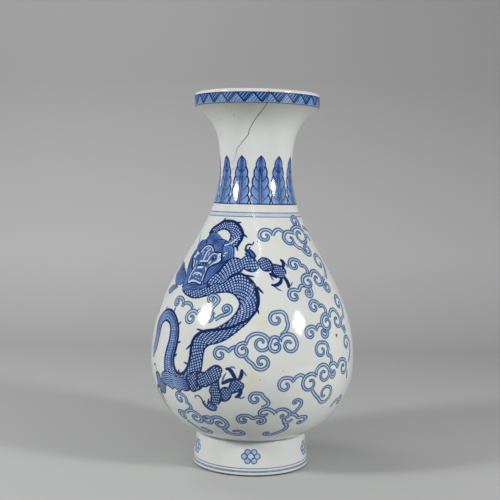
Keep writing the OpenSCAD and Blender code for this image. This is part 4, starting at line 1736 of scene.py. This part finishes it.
def make_stage():
    """Pale floor that sweeps up behind the vase as a backdrop, with painted light low on it and painted
    shade higher up.
    """
    sweep = [(-FLOOR_HALF, 0.0), (FLOOR_BACK, 0.0)]
    for angle in np.linspace(0, math.pi / 2, BEND_POINTS)[1:]:
        rise = BACKDROP_BEND * (1 - math.cos(angle))
        sweep.append((FLOOR_BACK + BACKDROP_BEND * math.sin(angle), rise))
    sweep.append((FLOOR_BACK + BACKDROP_BEND, BACKDROP_TOP))
    vertices = [(x, y, z) for y, z in sweep for x in (-FLOOR_HALF, FLOOR_HALF)]
    faces = [(2 * i, 2 * i + 1, 2 * i + 3, 2 * i + 2) for i in range(len(sweep) - 1)]
    mesh = bpy.data.meshes.new("floor_and_backdrop")
    mesh.from_pydata(vertices, [], faces)
    mesh.polygons.foreach_set("use_smooth", [True] * len(mesh.polygons))
    shader = Shader("paper", PAPER_ROUGH)
    shader.surface.inputs["Specular IOR Level"].default_value = PAPER_SHINE
    height = shader.height()
    # Painted light low on the backdrop, then painted shade higher up
    paler = shader.mix(shader.ramp(height, *PAINTED_LIGHT_SPAN), linear(FLOOR_GREY), linear(BACKDROP_PAINTED_LIGHT))
    shader.colour(shader.mix(shader.ramp(height, *PAINTED_SHADE_SPAN), paler, linear(BACKDROP_PAINTED_SHADE)))
    mesh.materials.append(shader.material)
    stage = bpy.data.objects.new("floor_and_backdrop", mesh)
    bpy.context.scene.collection.objects.link(stage)


def make_soft_box(name, place, size, power, shape="RECTANGLE", spin=0.0, aim=LAMP_AIM):
    """Soft box that faces a place, turned about its own axis by a spin."""
    data = bpy.data.lights.new(name, "AREA")
    data.shape = shape
    data.size, data.size_y = size
    data.energy = power
    lamp = bpy.data.objects.new(name, data)
    lamp.location = place
    facing = (Vector(aim) - Vector(place)).to_track_quat("-Z", "Y")
    lamp.rotation_euler = (facing.to_matrix() @ Matrix.Rotation(spin, 3, "Z")).to_euler()
    bpy.context.scene.collection.objects.link(lamp)


def make_light():
    make_soft_box("soft_box_left", (-0.88, -0.47, 0.56), (0.25, 0.18), 6.3, "ELLIPSE")
    make_soft_box("soft_box_left_top", (-0.85, -0.52, 0.665), (0.12, 0.11), 1.6, "ELLIPSE")
    make_soft_box("soft_box_right", (0.845, -0.572, 0.515), (0.175, 0.165), 8.0, spin=RIGHT_SPIN)
    make_soft_box("strip_lamp", (-0.03, -0.66, 0.80), (0.004, 0.66), 0.30, spin=STRIP_SPIN)
    make_soft_box("backdrop_lamp", (-0.45, 0.30, 0.90), (0.5, 0.5), 2.5, aim=BACKDROP_AIM)
    world = bpy.data.worlds.new("studio")
    world.use_nodes = True
    background = world.node_tree.nodes["Background"]
    background.inputs["Color"].default_value = ROOM_WHITE
    background.inputs["Strength"].default_value = ROOM_LIGHT
    bpy.context.scene.world = world


def make_camera():
    data = bpy.data.cameras.new("camera")
    data.lens = CAMERA_LENS
    data.sensor_width = CAMERA_SENSOR
    camera = bpy.data.objects.new("camera", data)
    camera.matrix_world = Matrix.Translation(Vector(CAMERA_AT) * MM) @ camera_turn().to_4x4()
    bpy.context.scene.collection.objects.link(camera)
    bpy.context.scene.camera = camera


# Scene

make_camera()
make_stage()
make_light()
bpy.context.scene.view_settings.view_transform = "Standard"

white = glaze_material("white_glaze")
foot_white = glaze_material("white_glaze_bare_foot", foot_edge=True)
for node in SECTIONS:
    make_section(node, foot_white if node == "foot_ring" else white)

draw_dragon()
draw_clouds()
draw_leaf()
draw_mouth_band()
draw_rings()
draw_floret()
draw_age()

paints = {name: cobalt_material(name, *tone) for name, tone in COBALT_TONES.items()}
paints |= {name: cobalt_material(name, *tone, worn=True) for name, tone in WORN_TONES.items()}
paints |= {name: stain_material(name, *tone) for name, tone in STAIN_TONES.items()}
for layer in LAYERS:
    layer.build(paints[layer.tone], "stain" if layer.tone in STAIN_TONES else "cobalt")
